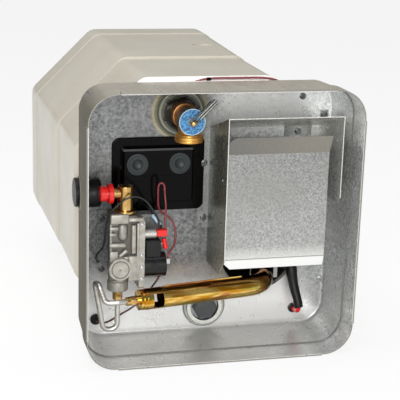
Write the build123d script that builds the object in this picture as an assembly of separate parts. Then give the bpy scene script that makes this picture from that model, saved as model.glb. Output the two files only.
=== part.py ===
from build123d import *
import math
import os

# Caravan water heater with its access door off: a galvanised control housing in front of a
# jacketed storage tank, with a gas burner that fires into a U-shaped flue.
# Seen from the front: x to the right, y to the back, z up, all in millimetres.
# The pieces are drawn with the rim's plane at depth zero and the heater's axis at height zero,
# and the last step moves them so that the origin is under the middle of the whole heater.

# Clearances
overrun = 3.0
fit_gap = 0.3
running_gap = 0.06
face_gap = 0.2

# Control housing
rim_half = 161.0
housing_depth = 97.0
housing_sheet = 1.2
housing_corner = 34.0
band_depth = 34.0
band_step = 1.6
housing_taper = 2.8
back_bend = 4.4
hem_thick = 1.2
hem_depth = 9.0
hem_end_space = 2.0
housing_back = housing_depth - housing_sheet
floor_half = rim_half + housing_sheet + hem_thick

# Jacket
jacket_wall = 3.0
jacket_round = 20.0
jacket_front = housing_depth + fit_gap
shoulder_depth = 11.0
shoulder_rise = 4.5
front_over = 0.5
front_half = rim_half + front_over
front_leg = 81.5
seam_depth = 247.0
seam_ramp = 4.0
seam_lap = 10.0
middle_step = 2.2
middle_leg_step = 3.4
middle_half = front_half + middle_step
middle_leg = front_leg + middle_leg_step
ridge_depth = 436.0
ridge_ramp = 2.5
ridge_step = 2.5
rear_step = 1.1
rear_leg_step = 1.0
ridge_half = middle_half + ridge_step
rear_half = ridge_half + rear_step
rear_leg = middle_leg + rear_leg_step
jacket_rear = 487.0
rear_round = 3.5
oval_x = 52.0
oval_depth_place = 335.0
oval_long = 30.0
oval_wide = 20.0
oval_sink = 1.0

# Tank, flue and water connections
foam_thin = 19.5
tank_radius = front_half - foam_thin
tank_wall = 2.5
tank_front = 100.5
tank_rear = 470.0
tank_knuckle = 9.0
flue_x = 68.0
flue_low_z = -60.0
flue_high_z = 42.0
flue_radius = 47.0
flue_wall = 1.6
flue_bend_depth = 352.0
flue_front = 98.5
burner_hole_radius = 49.0
exhaust_hole_radius = 44.0
nipple_height = 95.0
nipple_radius = 14.0
nipple_bore = 9.1
nipple_bore_length = 24.0
nipple_throat = 7.0
nipple_proud = 8.0
nipple_collar_radius = 18.0
nipple_collar_thick = 2.5

# Drain port and anode
drain_z = -126.2
drain_hole_radius = 17.5
drain_spud_radius = 17.0
drain_bore_radius = 10.0
drain_ring_radii = (27.0, 24.8, 22.8, 17.6)
drain_ring_lifts = (1.5, 3.5, 6.0)
drain_hex = 27.0
drain_head = 9.0
anode_radius = 9.5
anode_end = 400.0

# Relief valve
relief_x = -36.0
relief_z = 121.5
relief_hole_radius = 19.0
relief_ring_radii = (31.5, 28.5, 24.5, 18.5)
relief_ring_lifts = (1.6, 4.2, 6.5)
relief_notch = 3.2
notch_count = 6
notch_turn = 20.0
relief_nipple_radius = 10.6
relief_nipple_bore = 7.0
relief_nipple_front = 70.0
valve_barrel_radius = 13.0
valve_barrel_front = 38.0
valve_barrel_rear = 79.0
wrench_hex = 27.0
wrench_length = 9.0
outlet_depth = 50.0
outlet_radius = 12.5
outlet_ring_radius = 16.3
outlet_ring_height = 8.0
outlet_bore = 10.3
outlet_bore_length = 16.0
outlet_low_z = 95.5
chamber_radius = 8.6
bonnet_radius = 11.0
bonnet_length = 2.2
tag_radius = 15.5
tag_thick = 1.0
stem_radius = 2.0
stem_knob_radius = 4.2
stem_flat = 4.2
stem_travel = 3.0
seat_radius = 7.6
seat_thick = 4.0
spring_wire = 1.1
spring_radius = 5.6
spring_turns = 5
lever_length = 36.0
lever_trim_turn = -8.0
lever_width = 7.0
lever_sheet = 1.3
lever_ear = 3.4
lever_pin_radius = 1.2
lever_pivot_ahead = 5.2

# Reset cover
reset_x = -62.0
reset_z = 46.5
reset_wide = 113.0
reset_high = 90.6
reset_corner = 9.0
reset_plate = 3.0
cover_x = -64.0
cover_z = 47.0
cover_wide = 86.0
cover_high = 66.0
cover_front = 82.0
cover_wall = 2.0
cover_corner = 3.0
cover_bevel = 2.0
cover_line_wide = 58.0
cover_line_high = 1.0
cover_line_drop = 0.5
button_spacing = 51.4
button_rise = 14.8
button_radius = 13.2
button_rim = 2.2
groove_share = 1.5
button_proud = 1.6
button_dish = 11.0
button_flange = 14.8
button_flange_thick = 1.4
button_stem_radius = 4.0
button_travel = 2.5
switch_radius = 12.0
switch_pin_radius = 2.0
switch_pin_length = 2.2
switch_front = 93.4
window_wide = 84.0
window_high = 32.0

# Gas valve
valve_x = -113.0
valve_wide = 35.0
valve_high = 76.0
valve_mid_z = -30.5
valve_front = 32.0
valve_back = 69.0
valve_round = 2.5
outlet_x = -118.0
pipe_depth = 50.0
inlet_x = -110.0
inlet_boss_radius = 11.0
inlet_boss_top = 13.0
outlet_boss_radius = 12.5
outlet_boss_low = -81.5
disc_x = -118.9
disc_z = -50.0
disc_boss_radius = 13.3
disc_boss_front = 27.5
disc_radius = 9.6
disc_groove = 1.0
disc_centre_hole = 1.5
tower_radius = 7.5
tower_x = -114.5
rib_wide = 3.0
rib_high = 4.0
valve_rib_shares = (0.25, 0.5, 0.75)
side_plate_thick = 6.5
side_plate_high = 84.0
side_plate_mid_z = -35.5
small_screw_radius = 2.1
small_screw_head = 1.6
side_screw_heights = (1.5, -36.0, -50.5, -65.0)
coil_radius = 14.8
coil_length = 27.0
coil_z = -52.4
coil_end_flange = 2.4
coil_block_long = 18.0
coil_block_low = -37.5
coil_block_high = -20.5
coil_block_deep = 18.0
core_radius = 5.4
core_length = 16.5
core_z = -14.3
plunger_radius = 4.6
plunger_length = 20.0
plunger_travel = 2.0
terminal_thick = 0.9
terminal_wide = 6.0
core_boot_long = 12.0
core_boot_deep = 10.0
core_boot_low = -17.5
core_boot_top = -9.0
core_boot_round = 1.5
slant_boot_radius = 2.9
slant_boot_length = 13.0
slant_boot_turn = -12.0

# Valve bracket
bracket_sheet = 1.5
bracket_left = -122.0
bracket_right = -60.0
bracket_low = -76.0
bracket_top = 4.0
bracket_foot = 14.0
bracket_screw_x = -130.0
bracket_screw_heights = (-6.5, -70.2)

# Inlet elbow, its cap, and the manifold tube
elbow_radius = 9.0
elbow_top = 45.5
elbow_arm_z = 36.5
elbow_arm_radius = 6.4
elbow_arm_end = -124.5
elbow_bore = 4.6
elbow_ring = 0.9
cap_flange_radius = 11.7
cap_flange_thick = 6.0
cap_neck_radius = 7.6
cap_neck_length = 1.4
cap_knob_radius = 8.8
cap_knob_length = 8.2
nut_hex = 10.5
nut_length = 12.2
tube_radius = 3.15
manifold_drop = 38.0
manifold_low_reach = 17.0
manifold_low_rise = 1.0
manifold_far_reach = 27.5
manifold_far_ahead = 1.0
manifold_far_rise = 60.5
manifold_top_reach = 25.0
manifold_top_behind = 3.5
manifold_top_rise = 63.0
manifold_end_reach = 17.3
manifold_end_drop = 0.8
manifold_radii = (8.0, 8.0, 6.0, 5.4, 8.0, 9.0)

# Burner
burner_start_x = -111.0
burner_start_depth = 32.5
burner_z = -91.0
burner_end_x = 74.0
burner_end_depth = 99.0
burner_slant = 0.18
burner_bend = 34.0
burner_radius = 12.8
burner_wall = 1.0
orifice_radius = 5.2
orifice_length = 15.5
spud_radius = 3.3
spud_length = 14.0
collar_radius = 12.3
collar_length = 8.6
window_gap = 7.0
window_length = 13.0
window_half_height = 8.6
seam_start_share = 0.42
seam_end_share = 0.98
seam_high = 1.6
seam_thick = 1.4

# Spark electrode and its lead
electrode_depth = 90.0
electrode_z = -75.0
electrode_left = 63.0
electrode_right = 99.0
ceramic_radius = 2.4
electrode_wire = 0.9
electrode_drop = 13.0
electrode_reach = 5.0
spark_boot_radius = 5.0
spark_boot_start = 96.5
spark_ridge = 1.3
spark_turn_reach = 13.5
spark_turn_ahead = 2.0
spark_turn_drop = 3.0
spark_low_reach = 23.5
spark_low_ahead = 14.0
spark_low_drop = 51.0
spark_lead_radius = 2.6
lead_grommet_x = 116.8
lead_grommet_z = -136.2
lead_grommet_radius = 5.6
lead_grommet_proud = 5.0
electrode_clip_wide = 5.0
electrode_clip_low = -94.0

# Flue box and deflector
box_sheet = 1.0
box_left = 1.0
box_right = 141.0
box_front = 12.0
box_top_front = 129.0
box_top_back = 101.5
box_left_low = -66.0
box_left_tip = 36.0
box_left_front_low = -41.0
box_right_low = 22.0
box_right_front_low = 31.0
box_right_tip = 21.0
foot_left_wide = 6.2
foot_left_low = -24.0
foot_tab_wide = 11.5
foot_tab_half = 7.5
foot_right_wide = 10.0
foot_right_top = 120.0
tab_left = 95.0
tab_right = 130.0
tab_low = 88.0
deflector_depth = 20.0
deflector_right = 127.0
deflector_low = -43.0
deflector_high = 85.0
deflector_lip_reach = 10.5
deflector_lip_high = 22.0
deflector_toe_reach = 3.5
deflector_toe_drop = 12.0
deflector_cut = 12.0
deflector_corner = 10.0
deflector_flange = 24.0
deflector_flange_low = -20.0
deflector_flange_high = 70.0
rivet_radius = 2.4
rivet_head = 1.2
rivet_tail_share = 0.8
rivet_shares = (0.2, 0.8)

# Housing screws: place across, height, and thickness of sheet under the head
screw_head_radius = 4.0
screw_head_thick = 2.4
screw_shank_radius = 1.7
screw_shank_length = 4.4
screw_hole_radius = 2.0
screw_slot = 0.9
left_foot_screws = ((-5.2, 58.3), (-4.2, -10.6))
right_foot_screw = (145.5, 114.2)
tab_screw = (112.7, 93.8)
plain_screws = ((116.7, 137.6),)
spare_holes = ((150.6, -98.0),)

# Grommets
gas_depth = 84.0
gas_flange_depth = 88.0
gas_z = 29.0
gas_hole_radius = 8.0
gas_flange_radius = 17.3
gas_flange_over = 3.2
gas_seat_under = 1.1
gas_reach = 27.0
gas_outer_face = rim_half + gas_flange_over
gas_seat_face = rim_half - gas_seat_under
gas_inner_end = rim_half - gas_reach
gas_round = 3.0
boss_radius = 22.0
boss_lift = 0.7
boss_slope = 3.5
wire_grommet_x = -136.4
wire_grommet_z = -135.2
wire_grommet_radius = 6.8
wire_grommet_proud = 3.6
wire_hole_radius = 4.8

# Leads: the points of each are chosen by hand along its real route
lead_diameter = 2.4
power_lead_diameter = 2.6
ground_lead_route = [
    (-69.5, 48.0, -9.0), (-69.7, 47.6, -4.0), (-71.0, 45.5, 4.0), (-78.0, 43.0, 16.0),
    (-87.0, 39.0, 29.0), (-99.0, 35.5, 36.5), (-111.5, 34.5, 34.5), (-121.5, 37.0, 26.0),
    (-130.8, 41.0, 14.5), (-133.2, 45.0, 1.0), (-133.4, 48.0, -13.0), (-134.0, 53.0, -27.0),
    (-137.0, 64.0, -38.0), (-139.8, 76.0, -47.5), (-138.0, 84.0, -55.5), (-134.4, 89.4, -60.0),
    (-133.0, 94.3, -60.6),
]
sensor_lead_route = [
    (-86.0, 92.8, 8.0), (-86.1, 88.3, 8.3), (-86.4, 83.5, 10.8), (-86.0, 75.0, 15.5),
    (-82.5, 64.0, 17.0), (-77.0, 55.5, 10.5), (-70.6, 52.0, 2.6), (-66.4, 52.2, -3.6),
    (-66.0, 52.0, -9.0),
]
jumper_lead_route = [
    (-62.4, 50.0, -9.0), (-62.3, 50.2, -3.6), (-61.0, 52.6, 4.0), (-59.8, 56.5, 14.5),
    (-60.2, 60.0, 26.0), (-60.8, 61.2, 34.5), (-61.0, 61.8, 40.2), (-62.9, 62.2, 43.4),
    (-66.1, 62.6, 43.4), (-68.1, 63.0, 40.2), (-68.3, 63.3, 34.0), (-68.0, 63.8, 26.0),
    (-67.8, 64.6, 16.0), (-64.5, 66.0, 7.5), (-57.5, 66.0, 2.8), (-50.5, 64.5, -3.0),
    (-46.8, 61.0, -13.0), (-47.2, 57.0, -25.0), (-50.0, 53.5, -32.0), (-55.2, 49.2, -36.6),
    (-57.9, 47.0, -40.6), (-58.5, 46.5, -45.3),
]
supply_lead_route = [
    (-136.4, 92.0, -135.2), (-136.3, 88.0, -135.2), (-133.9, 83.2, -135.6), (-128.6, 79.8, -135.2),
    (-120.5, 77.8, -131.5), (-110.5, 75.5, -124.0), (-97.0, 74.5, -116.5), (-84.0, 75.0, -107.0),
    (-75.0, 75.5, -96.5), (-70.0, 70.5, -85.5), (-67.4, 63.0, -77.5), (-66.2, 57.6, -71.0),
    (-66.0, 55.4, -65.5),
]
power_lead_route = [
    (-36.0, 99.6, 140.0), (-30.0, 99.6, 148.5), (-19.0, 99.9, 156.4), (-4.0, 100.2, 159.9),
    (14.0, 100.3, 160.6), (34.0, 100.3, 160.2), (54.0, 100.3, 160.4), (72.0, 100.4, 159.8),
    (86.0, 100.4, 156.4), (94.0, 100.2, 150.0), (98.0, 99.8, 142.4),
]
spark_lead_radii = (6.0, 6.0)
spark_lead_drop = 7.5


# Drawing planes and turned or extruded shapes
def front_plane(depth):
    return Plane((0, depth, 0), x_dir=(1, 0, 0), z_dir=(0, -1, 0))


def slab(shape, start, end):
    return extrude(front_plane(end) * shape, amount=end - start)


def across(shape, start, end):
    plane = Plane((start, 0, 0), x_dir=(0, 1, 0), z_dir=(1, 0, 0))
    return extrude(plane * shape, amount=end - start)


def upright(shape, low, high):
    return extrude(Plane((0, 0, low)) * shape, amount=high - low)


def block(left, right, front, back, low, high):
    size = (right - left, back - front, high - low)
    middle = ((left + right) / 2, (front + back) / 2, (low + high) / 2)
    return Pos(*middle) * Box(*size)


def turned_back(profile, x, z):
    plane = Plane((x, 0, z), x_dir=(1, 0, 0), z_dir=(0, 0, 1))
    face = make_face(Polyline(*profile, close=True))
    return revolve(plane * face, axis=Axis((x, 0, z), (0, 1, 0)))


def turned_side(profile, depth, z):
    plane = Plane((0, depth, z), x_dir=(0, 0, 1), z_dir=(0, 1, 0))
    face = make_face(Polyline(*profile, close=True))
    return revolve(plane * face, axis=Axis((0, depth, z), (1, 0, 0)))


def hexagon(flats):
    return RegularPolygon(flats / math.sqrt(3), 6)


def disc(x, z, radius):
    return Pos(x, z) * Circle(radius)


def tube_along(path, radius):
    start = path @ 0
    heading = path % 0
    return sweep(Plane(start, z_dir=heading) * Circle(radius), path=path)


# Cord routes: every corner is rounded as far as its two runs allow
bend_share = 0.45


def corner_radii(route):
    radii = []
    points = [Vector(*point) for point in route]
    for before, corner, after in zip(points, points[1:], points[2:]):
        arriving = corner - before
        leaving = after - corner
        half_turn = math.radians(arriving.get_angle(leaving)) / 2
        shorter = min(arriving.length, leaving.length)
        radii.append(round(bend_share * shorter / math.tan(half_turn), 3))
    return radii


def lead_tube(name, route, diameter):
    radii = corner_radii(route)
    path = FilletPolyline(*route, radius=radii)
    tube = tube_along(path, diameter / 2)
    ideal = math.pi * diameter ** 2 / 4 * path.length
    print(name, "length", round(path.length, 1), "volume share", round(tube.volume / ideal, 4))
    print("  radii", radii)
    return tube


# Control housing
def housing_block(wall, front):
    edge = rim_half + housing_sheet - wall
    inner_edge = edge - band_step
    corner = housing_corner + housing_sheet - wall
    sections = [
        (front, edge, corner),
        (band_depth, edge, corner),
        (band_depth + band_step, inner_edge, corner - band_step),
        (housing_depth - wall, inner_edge - housing_taper, corner - band_step - housing_taper),
    ]
    faces = [
        front_plane(depth) * RectangleRounded(2 * half, 2 * half, radius)
        for depth, half, radius in sections
    ]
    solid = loft(faces, ruled=True)
    back_edges = solid.faces().sort_by(Axis.Y)[-1].edges()
    return fillet(back_edges, back_bend - wall)


def hem_strips():
    run_half = rim_half - housing_corner - hem_end_space
    outer = rim_half + housing_sheet
    top = block(-run_half, run_half, 0, hem_depth, outer, outer + hem_thick)
    side = block(outer, outer + hem_thick, 0, hem_depth, -run_half, run_half)
    return [top, mirror(top, Plane.XY), side, mirror(side, Plane.YZ)]


def back_cut(x, z, radius):
    return slab(disc(x, z, radius), housing_back - overrun, housing_depth + overrun)


def gas_boss():
    # a low pressed ring on the outside of the wall round the gas line grommet
    wall_x = rim_half + housing_sheet - band_step
    disc_shape = across(disc(gas_depth, gas_z, boss_radius), -wall_x, -wall_x + housing_corner / 2)
    low = chamfer(disc_shape.faces().sort_by(Axis.X)[0].edges(), boss_slope)
    return low & housing_block(-boss_lift, 0) & block(
        -rim_half - housing_corner, 0, band_depth + band_step, housing_depth, -rim_half, rim_half)


def control_housing():
    shell = housing_block(0, 0) - housing_block(housing_sheet, -overrun)
    for strip in hem_strips():
        shell += strip
    shell += gas_boss() - housing_block(housing_sheet, -overrun)
    holes = [
        back_cut(relief_x, relief_z, relief_hole_radius),
        back_cut(0, drain_z, drain_hole_radius),
        back_cut(flue_x, flue_low_z, burner_hole_radius),
        back_cut(flue_x, flue_high_z, exhaust_hole_radius),
        back_cut(wire_grommet_x, wire_grommet_z, wire_hole_radius),
        back_cut(lead_grommet_x, lead_grommet_z, spark_lead_radius + fit_gap),
        across(disc(gas_depth, gas_z, gas_hole_radius), -rim_half - housing_corner,
               -rim_half + housing_corner / 2),
        slab(Pos(cover_x, cover_z + button_rise) * RectangleRounded(window_wide, window_high, reset_corner),
             housing_back - overrun, housing_depth + overrun),
    ]
    for x, z in all_screw_places() + list(spare_holes):
        holes.append(back_cut(x, z, screw_hole_radius))
    for hole in holes:
        shell -= hole
    return shell


# Jacket
def octagon(half, leg, floor):
    flat = half - leg
    low_flat = 2 * half - leg - floor
    outline = Polyline(
        (-half, flat), (-flat, half), (flat, half), (half, flat),
        (half, -flat), (low_flat, -floor), (-low_flat, -floor), (-half, -flat),
        close=True,
    )
    return make_face(outline)


def jacket_block(sections, wall):
    faces = []
    for depth, half, leg, floor in sections:
        inner_leg = leg - wall * (2 - math.sqrt(2))
        section = octagon(half - wall, inner_leg, floor - wall)
        rounded = fillet(section.vertices(), jacket_round - wall)
        faces.append(front_plane(depth) * rounded)
    return loft(faces, ruled=True)


def front_sections(front, end):
    shoulder_half = front_half - shoulder_rise
    shoulder_leg = front_leg - shoulder_rise * (2 - math.sqrt(2))
    return [
        (front, shoulder_half, shoulder_leg, floor_half - shoulder_rise),
        (jacket_front + shoulder_depth, front_half, front_leg, floor_half),
        (end, front_half, front_leg, floor_half),
    ]


def lap_sections(start, end):
    return [(start, middle_half, middle_leg, floor_half), (end, middle_half, middle_leg, floor_half)]


def rear_sections(start, end, edge):
    nose_leg = rear_leg - edge * (2 - math.sqrt(2))
    return [
        (start, middle_half, middle_leg, floor_half),
        (ridge_depth - ridge_ramp, ridge_half, rear_leg - rear_half + ridge_half, floor_half),
        (ridge_depth, rear_half, rear_leg, floor_half),
        (end - edge, rear_half, rear_leg, floor_half),
        (end, rear_half - edge, nose_leg, floor_half - edge),
    ]


def power_lead_channel(space):
    path = FilletPolyline(*power_lead_route, radius=corner_radii(power_lead_route))
    return tube_along(path, power_lead_diameter / 2 + space)


def jacket_front_shell():
    ramp = front_sections(jacket_front, seam_depth - seam_ramp)
    ramp.append((seam_depth - face_gap, middle_half, middle_leg, floor_half))
    body = jacket_block(ramp, 0)
    lap_start = seam_depth - seam_ramp
    lap_end = seam_depth + seam_lap
    body += jacket_block(lap_sections(lap_start, lap_end), jacket_wall + fit_gap)
    body -= jacket_block(front_sections(jacket_front, lap_start), jacket_wall)
    mouth = front_sections(jacket_front, lap_start)[0][1:]
    body -= jacket_block([(jacket_front - overrun, *mouth), (jacket_front, *mouth)], jacket_wall)
    body -= jacket_block(lap_sections(lap_start, lap_end + overrun), 2 * jacket_wall + fit_gap)
    pocket = across(disc(gas_flange_depth, gas_z, gas_flange_radius + 4 * fit_gap),
                    -gas_outer_face - overrun, -gas_seat_face + fit_gap)
    return body - power_lead_channel(fit_gap) - pocket


def nipple_heights():
    return (nipple_height, -nipple_height)


def jacket_rear_shell():
    outer = jacket_block(rear_sections(seam_depth, jacket_rear, rear_round), 0)
    hollow = jacket_block(
        rear_sections(seam_depth - overrun, jacket_rear - jacket_wall, rear_round), jacket_wall)
    shell = outer - hollow
    for z in nipple_heights():
        shell -= slab(disc(0, z, nipple_radius + fit_gap), jacket_rear - jacket_wall - overrun,
                      jacket_rear + overrun)
    mark = Pos(oval_x, oval_depth_place, middle_half + oval_sink) * scale(
        Cylinder(oval_long / 2, 2 * oval_sink), by=(1, oval_wide / oval_long, 1))
    return shell - mark


# Foam between tank and jacket, in two halves that meet at the seam
def foam_bore(start, end):
    return slab(disc(0, 0, tank_radius + face_gap), start - overrun, end + overrun)


def foam_front():
    inset = jacket_wall + face_gap
    front = tank_front
    foam = jacket_block(front_sections(front, seam_depth - seam_ramp - face_gap), inset)
    foam -= foam_bore(front, seam_depth)
    foam -= slab(disc(0, drain_z, drain_spud_radius + face_gap), front - overrun, front + 2 * tank_knuckle)
    return foam - power_lead_channel(fit_gap)


def foam_rear():
    inset = jacket_wall + face_gap
    lap_end = seam_depth + seam_lap + face_gap
    collar = jacket_block(lap_sections(seam_depth - seam_ramp, lap_end),
                          2 * jacket_wall + fit_gap + face_gap)
    foam = jacket_block(rear_sections(lap_end, jacket_rear - jacket_wall - face_gap, rear_round), inset)
    foam += collar
    foam -= slab(disc(0, 0, tank_radius + face_gap), 0, tank_rear + face_gap)
    for z in nipple_heights():
        foam -= slab(disc(0, z, nipple_collar_radius + fit_gap), tank_rear, jacket_rear + overrun)
    return foam


# Tank, flue and water connections
def tank_shell():
    outer = slab(disc(0, 0, tank_radius), tank_front, tank_rear)
    outer = fillet(outer.edges().filter_by(GeomType.CIRCLE), tank_knuckle)
    inner = slab(disc(0, 0, tank_radius - tank_wall), tank_front + tank_wall, tank_rear - tank_wall)
    inner = fillet(inner.edges().filter_by(GeomType.CIRCLE), tank_knuckle - tank_wall)
    tank = outer - inner
    cuts = [
        slab(disc(flue_x, flue_low_z, flue_radius), tank_front - overrun, tank_front + tank_wall + overrun),
        slab(disc(flue_x, flue_high_z, flue_radius), tank_front - overrun, tank_front + tank_wall + overrun),
        slab(disc(relief_x, relief_z, relief_nipple_radius), tank_front - overrun,
             tank_front + tank_knuckle + overrun),
        slab(disc(0, drain_z, drain_spud_radius), tank_front - overrun, tank_front + tank_knuckle + overrun),
    ]
    for z in nipple_heights():
        cuts.append(slab(disc(0, z, nipple_radius), tank_rear - tank_wall - overrun, tank_rear + overrun))
    for cut in cuts:
        tank -= cut
    return tank


def flue_pipe(radius, front):
    low = slab(disc(flue_x, flue_low_z, radius), front, flue_bend_depth)
    high = slab(disc(flue_x, flue_high_z, radius), front, flue_bend_depth)
    middle_z = (flue_low_z + flue_high_z) / 2
    mouth = front_plane(flue_bend_depth) * disc(flue_x, flue_low_z, radius)
    bend = revolve(mouth, axis=Axis((flue_x, flue_bend_depth, middle_z), (1, 0, 0)), revolution_arc=180)
    return low + bend + high


def flue_tube():
    return flue_pipe(flue_radius, flue_front) - flue_pipe(flue_radius - flue_wall, flue_front - overrun)


def water_nipple(z):
    end = jacket_rear + nipple_proud
    body = slab(disc(0, z, nipple_radius), tank_rear - tank_wall, end)
    body += slab(disc(0, z, nipple_collar_radius), tank_rear + face_gap,
                 tank_rear + face_gap + nipple_collar_thick)
    bore = slab(disc(0, z, nipple_bore), end - nipple_bore_length, end + overrun)
    throat = slab(disc(0, z, nipple_throat), tank_rear - tank_wall - overrun, end)
    return body - bore - throat


# Drain port and anode
def stepped_ring(radii, lifts, x, z):
    back = housing_back
    outer, second, third, hole = radii
    low, middle, high = lifts
    profile = [
        (hole, back), (outer, back), (outer, back - low), (second, back - middle),
        (third, back - middle), (third, back - high), (hole, back - high),
    ]
    return turned_back(profile, x, z)


def drain_port_ring():
    return stepped_ring(drain_ring_radii, drain_ring_lifts, 0, drain_z)


def drain_spud():
    profile = [
        (drain_bore_radius, housing_back - drain_ring_lifts[0]),
        (drain_spud_radius, housing_back - drain_ring_lifts[0]),
        (drain_spud_radius, tank_front + tank_knuckle),
        (drain_bore_radius, tank_front + tank_knuckle),
    ]
    return turned_back(profile, 0, drain_z)


def drain_plug():
    seat = housing_back - drain_ring_lifts[0]
    head = slab(Pos(0, drain_z) * hexagon(drain_hex), seat - drain_head, seat)
    head = chamfer(head.faces().sort_by(Axis.Y)[0].edges(), drain_ring_lifts[0])
    shank = slab(disc(0, drain_z, drain_bore_radius - running_gap), seat, tank_front + tank_knuckle)
    return head + shank


def anode_rod():
    return slab(disc(0, drain_z, anode_radius), tank_front + tank_knuckle, anode_end)


# Relief valve
def relief_port_ring():
    ring = stepped_ring(relief_ring_radii, relief_ring_lifts, relief_x, relief_z)
    notch_reach = relief_ring_radii[3] + relief_notch / 2
    for turn in range(notch_count):
        angle = math.tau * turn / notch_count + math.radians(notch_turn)
        x = relief_x + notch_reach * math.cos(angle)
        z = relief_z + notch_reach * math.sin(angle)
        ring -= slab(disc(x, z, relief_notch), housing_back - relief_ring_lifts[2] - overrun,
                     housing_back - relief_ring_lifts[0])
    base_top = reset_z + reset_high / 2 + face_gap
    return ring - block(relief_x - 2 * relief_ring_radii[0], relief_x + 2 * relief_ring_radii[0],
                        cover_front, housing_depth, cover_z, base_top)


def relief_nipple():
    pipe = slab(disc(relief_x, relief_z, relief_nipple_radius), relief_nipple_front,
                tank_front + tank_knuckle)
    bore = slab(disc(relief_x, relief_z, relief_nipple_bore), relief_nipple_front - overrun,
                tank_front + tank_knuckle + overrun)
    return pipe - bore


def relief_valve_body():
    seat_back = relief_nipple_front - face_gap
    barrel = slab(disc(relief_x, relief_z, valve_barrel_radius), valve_barrel_front, valve_barrel_rear)
    barrel += slab(Pos(relief_x, relief_z) * hexagon(wrench_hex), valve_barrel_rear - wrench_length,
                   valve_barrel_rear)
    barrel += slab(disc(relief_x, relief_z, bonnet_radius), valve_barrel_front - bonnet_length,
                   valve_barrel_front)
    drop = upright(Pos(relief_x, outlet_depth) * Circle(outlet_radius), outlet_low_z, relief_z)
    ring = upright(Pos(relief_x, outlet_depth) * Circle(outlet_ring_radius), outlet_low_z,
                   outlet_low_z + outlet_ring_height)
    ring = fillet(ring.edges().filter_by(GeomType.CIRCLE), (outlet_ring_radius - outlet_radius) / 2)
    body = barrel + drop + ring
    body -= slab(disc(relief_x, relief_z, chamber_radius), valve_barrel_front, seat_back - wrench_length / 2)
    body -= slab(disc(relief_x, relief_z, relief_nipple_bore), valve_barrel_front,
                 valve_barrel_rear + overrun)
    body -= slab(disc(relief_x, relief_z, relief_nipple_radius + running_gap), seat_back,
                 valve_barrel_rear + overrun)
    body -= slab(disc(relief_x, relief_z, stem_radius + fit_gap),
                 valve_barrel_front - bonnet_length - overrun, valve_barrel_front + overrun)
    body -= upright(Pos(relief_x, outlet_depth) * Circle(outlet_bore), outlet_low_z - overrun,
                    outlet_low_z + outlet_bore_length)
    body -= upright(Pos(relief_x, outlet_depth) * Circle(relief_nipple_bore),
                    outlet_low_z, relief_z)
    return body


def tag_front():
    return valve_barrel_front - bonnet_length - tag_thick


def pivot_depth():
    return tag_front() - lever_pivot_ahead


def relief_tag():
    plate = slab(disc(relief_x, relief_z, tag_radius), tag_front(), tag_front() + tag_thick)
    return plate - slab(disc(relief_x, relief_z, stem_radius + fit_gap), tag_front() - overrun,
                        tag_front() + tag_thick + overrun)


def seat_depth():
    return relief_nipple_front - wrench_length / 2 - seat_thick - fit_gap


def lever_frame():
    return Plane((relief_x, pivot_depth(), relief_z), x_dir=(1, 0, 1), z_dir=(0, -1, 0))


def relief_stem():
    rod = slab(disc(relief_x, relief_z, stem_radius), pivot_depth(), seat_depth())
    seat = slab(disc(relief_x, relief_z, seat_radius), seat_depth(), seat_depth() + seat_thick)
    knob = Pos(relief_x, pivot_depth(), relief_z) * Sphere(stem_knob_radius)
    flats = lever_frame() * Box(2 * stem_knob_radius, stem_flat, 2 * stem_knob_radius)
    hole = lever_frame() * Rot(90, 0, 0) * Cylinder(lever_pin_radius, 2 * stem_knob_radius)
    return rod + seat + (knob & flats) - hole


def relief_spring():
    length = seat_depth() - valve_barrel_front - 2 * spring_wire - fit_gap - stem_travel
    coil = Helix(pitch=length / spring_turns, height=length, radius=spring_radius)
    path = Plane((relief_x, valve_barrel_front + spring_wire, relief_z), z_dir=(0, 1, 0)) * coil
    start = path @ 0
    return sweep(Plane(start, z_dir=path % 0) * Circle(spring_wire / 2), path=path, is_frenet=True)


def relief_lever():
    half = lever_width / 2
    inner = stem_flat / 2 + fit_gap / 2
    handle = Pos(lever_length / 2, 0, lever_ear - lever_sheet / 2 - lever_sheet) * Box(
        lever_length - 2 * stem_knob_radius, lever_width, lever_sheet)
    handle = Pos(stem_knob_radius, 0, 0) * handle
    side_length = lever_length - stem_knob_radius
    lever = handle
    for side in (1, -1):
        ear = Pos(side_length / 2 - lever_ear / 2, side * (half + inner) / 2, 0) * Box(
            side_length + lever_ear, half - inner, 2 * lever_ear - 2 * lever_sheet)
        lever += ear
    bore = Rot(90, 0, 0) * Cylinder(lever_pin_radius + running_gap, 2 * lever_width)
    trim = Pos(lever_length, 0, -lever_ear) * Rot(0, lever_trim_turn, 0) * Box(
        2 * lever_length - 2 * stem_knob_radius, 2 * lever_width, lever_ear)
    return lever_frame() * (lever - bore - trim)


def lever_pin():
    return lever_frame() * Rot(90, 0, 0) * Cylinder(lever_pin_radius, lever_width + 2 * fit_gap)


# Reset cover, buttons and limit switches
def button_places():
    return (cover_x - button_spacing / 2, cover_x + button_spacing / 2)


def button_z():
    return cover_z + button_rise


def reset_base():
    plate = slab(Pos(reset_x, reset_z) * RectangleRounded(reset_wide, reset_high, reset_corner),
                 housing_back - reset_plate, housing_back)
    front_edges = plate.faces().sort_by(Axis.Y)[0].edges()
    plate = fillet(front_edges, reset_plate / 3)
    window = slab(Pos(cover_x, button_z()) * RectangleRounded(window_wide, window_high, reset_corner),
                  housing_back - reset_plate - overrun, housing_back + overrun)
    tab = block(-foot_tab_wide - face_gap, reset_x + reset_wide, housing_back - box_sheet - face_gap,
                housing_depth, left_foot_screws[0][1] - foot_tab_half - face_gap,
                left_foot_screws[0][1] + foot_tab_half + face_gap)
    head = slab(disc(*left_foot_screws[0], screw_head_radius + fit_gap), cover_front, housing_back)
    return plate - window - tab - head


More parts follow.
